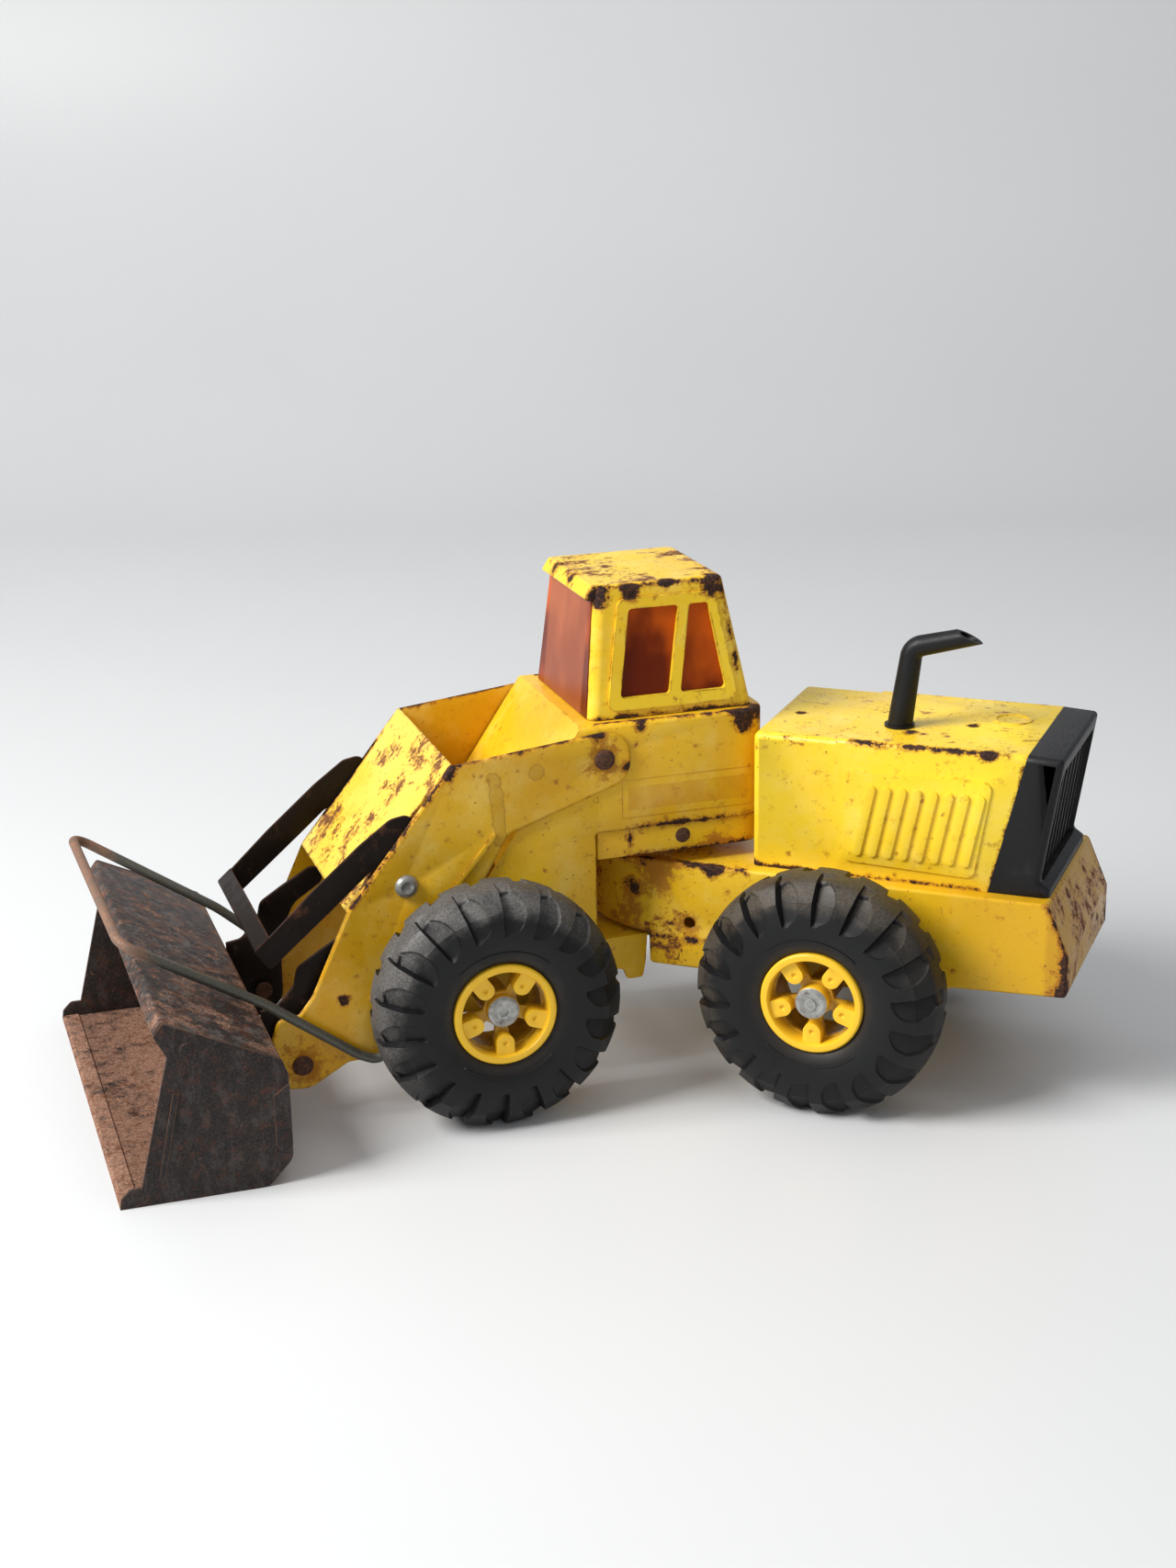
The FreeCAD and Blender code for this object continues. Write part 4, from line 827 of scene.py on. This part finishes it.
wire = plated_wire("plated_wire", 288)
rivet = rusty_rivet("rusty_rivet")
plated = zinc("zinc")
window = amber("amber_window")
plastic = satin_black("satin_black", "rear")
# painted shadow: plain black for the walls and upper ends of the tyres' scoops
shaded = satin_black("tyre_scoop_shadow_wall", "front")

# the material of each CAD node, and how far the edges of some of them are eased, in millimetres
PAINTED = {
    "front_body": paint_front, "front_rail": paint_front, "front_lower_arm": paint_front,
    "rail_rivets": rivet, "cab_shell": paint_cab, "boom": paint_boom,
    "rear_chassis": paint_rear, "rear_pan": paint_rear, "pan_rivets": paint_rear, "hood": paint_hood,
    "bucket_shell": rust_shell, "bucket_side_left": rust_side, "bucket_side_right": rust_side,
    "bucket_rivets": rust_side, "bucket_ear_left": black, "bucket_ear_right": black,
    "tilt_lever": black, "wire_bail": wire, "boom_pivot_rivets": rivet, "bucket_pivot_rivets": rivet,
    "king_pin": plated, "lower_spacer": plated, "upper_spacer": plated, "front_axle": plated,
    "front_axle_sleeves": plated, "front_axle_caps": plated, "rear_axle": plated,
    "rear_axle_sleeves": plated, "rear_axle_caps": plated, "lever_rod": plated,
    "lever_rod_caps": plated, "cab_glazing": window, "grille": plastic, "exhaust_stack": plastic,
}
EASED = {
    "front_body": 0.35, "front_rail": 0.35, "front_lower_arm": 0.35, "boom": 0.35, "rear_chassis": 0.4,
    "rear_pan": 0.3, "bucket_shell": 0.35, "bucket_side_left": 0.3, "bucket_side_right": 0.3,
    "bucket_ear_left": 0.4, "bucket_ear_right": 0.4, "tilt_lever": 0.35, "grille": 0.4, "hood": 0.45,
}
RIM_EASED = 0.4
for node, paint in PAINTED.items():
    soften(node, EASED.get(node, 0), paint)

WHEELS = {"front_left": ("front", 1), "front_right": ("front", -1),
          "rear_left": ("rear", 1), "rear_right": ("rear", -1)}
for wheel, (section, side) in WHEELS.items():
    axle = SECTIONS[section].inverted() @ Vector(joints[f"{wheel}_spin"]["pos_m"])
    centre = (axle.x / MM, 0.0, axle.z / MM)
    rubber = tyre_black(f"{wheel}_rubber", section, centre)
    tyre(wheel, section, centre[0], side, rubber, shaded)
    soften(f"{wheel}_rim", RIM_EASED, rim_yellow(f"{wheel}_rim_yellow", section))


# ---------------------------------------------------------------- floor, lights and camera

# the floor, in metres: how far it reaches towards the camera and away from it, the radius and the
# steps of the bend behind that, how high the backdrop is, and half the width
FLOOR_NEAR, FLOOR_FAR = -3.0, 1.3
FLOOR_BEND = 0.6
FLOOR_BEND_STEPS = 16
BACKDROP_TOP = 3.2
FLOOR_HALF_WIDTH = 4.0


def stage():
    """Pale floor that curves up into a backdrop behind the object."""
    s = Shader("studio_white")
    floor = s.done(s.mix(s.noise(300, 3.0), *STUDIO_WHITE), 0.42)
    away = (SECTIONS["rear"].to_3x3() @ Vector((0.37, -0.93, 0))).normalized()
    across = Vector((-away.y, away.x, 0))
    profile = [(FLOOR_NEAR, 0.0), (FLOOR_FAR, 0.0)]
    for k in range(1, FLOOR_BEND_STEPS + 1):
        angle = math.pi / 2 * k / FLOOR_BEND_STEPS
        out = FLOOR_FAR + FLOOR_BEND * math.sin(angle)
        profile.append((out, FLOOR_BEND - FLOOR_BEND * math.cos(angle)))
    profile.append((FLOOR_FAR + FLOOR_BEND, BACKDROP_TOP))
    sides = (-FLOOR_HALF_WIDTH, FLOOR_HALF_WIDTH)
    rows = [[away * out + across * side + Vector((0, 0, up)) for side in sides] for out, up in profile]
    mesh = grid_mesh("studio_floor", rows)
    for polygon in mesh.polygons:
        polygon.use_smooth = True
    mesh.materials.append(floor)
    made = bpy.data.objects.new("studio_floor", mesh)
    bpy.context.scene.collection.objects.link(made)


def area_light(name, spot, aim, size, power, color=(1, 1, 1)):
    """Soft light at a spot, turned to its aim; size is its width and height in metres."""
    data = bpy.data.lights.new(name, "AREA")
    data.shape = "RECTANGLE"
    data.size = size[0]
    data.size_y = size[1]
    data.energy = power
    data.color = color
    made = bpy.data.objects.new(name, data)
    made.location = spot
    made.rotation_euler = (Vector(aim) - Vector(spot)).to_track_quat("-Z", "Y").to_euler()
    bpy.context.scene.collection.objects.link(made)


# the camera, in the rear section's frame: place in millimetres, yaw, pitch and roll in degrees
CAMERA_PLACE = (-385.97, 1111.27, 509.45)
CAMERA_TURN = (21.7, 17.88, 1.02)
CAMERA_LENS = 55.48
CAMERA_SENSOR = 36.0


def camera():
    """Camera at the angle of the reference view."""
    yaw, pitch, roll = (math.radians(degrees) for degrees in CAMERA_TURN)
    ahead = Vector((math.sin(yaw) * math.cos(pitch), -math.cos(yaw) * math.cos(pitch), -math.sin(pitch)))
    right = ahead.cross(Vector((0, 0, 1))).normalized()
    down = ahead.cross(right)
    across = right * math.cos(roll) + down * math.sin(roll)
    below = down * math.cos(roll) - right * math.sin(roll)
    turn = Matrix((across, -below, -ahead)).transposed().to_4x4()
    data = bpy.data.cameras.new("camera")
    data.lens = CAMERA_LENS
    data.sensor_width = CAMERA_SENSOR
    data.clip_end = 50
    made = bpy.data.objects.new("camera", data)
    made.matrix_world = SECTIONS["rear"] @ Matrix.Translation(Vector(CAMERA_PLACE) * MM) @ turn
    bpy.context.scene.collection.objects.link(made)
    bpy.context.scene.camera = made
    return made


def world():
    """Faint, slightly cool light from all round."""
    made = bpy.data.worlds.new("studio")
    made.use_nodes = True
    background = made.node_tree.nodes["Background"]
    background.inputs["Color"].default_value = (0.93, 0.95, 1.0, 1)
    background.inputs["Strength"].default_value = 0.34
    bpy.context.scene.world = made


stage()
world()
eye = camera().matrix_world
toward = SECTIONS["rear"] @ Vector((0.03, 0, 0.1))
left_of_view = eye.to_3x3() @ Vector((-1, 0, 0))
front_of_view = eye.to_3x3() @ Vector((0, 0, 1))
key_spot = toward + left_of_view * 1.5 + front_of_view * 0.75 + Vector((0, 0, 1.1))
area_light("key", key_spot, toward, (1.0, 1.0), 62, (1.0, 0.985, 0.96))
fill_spot = toward + front_of_view * 2.0 - left_of_view * 0.6 + Vector((0, 0, 0.7))
area_light("fill", fill_spot, toward, (1.6, 1.2), 4)
area_light("top", toward + Vector((0, 0, 2.2)), toward, (2.0, 2.0), 9)

bpy.context.scene.view_settings.view_transform = "Standard"
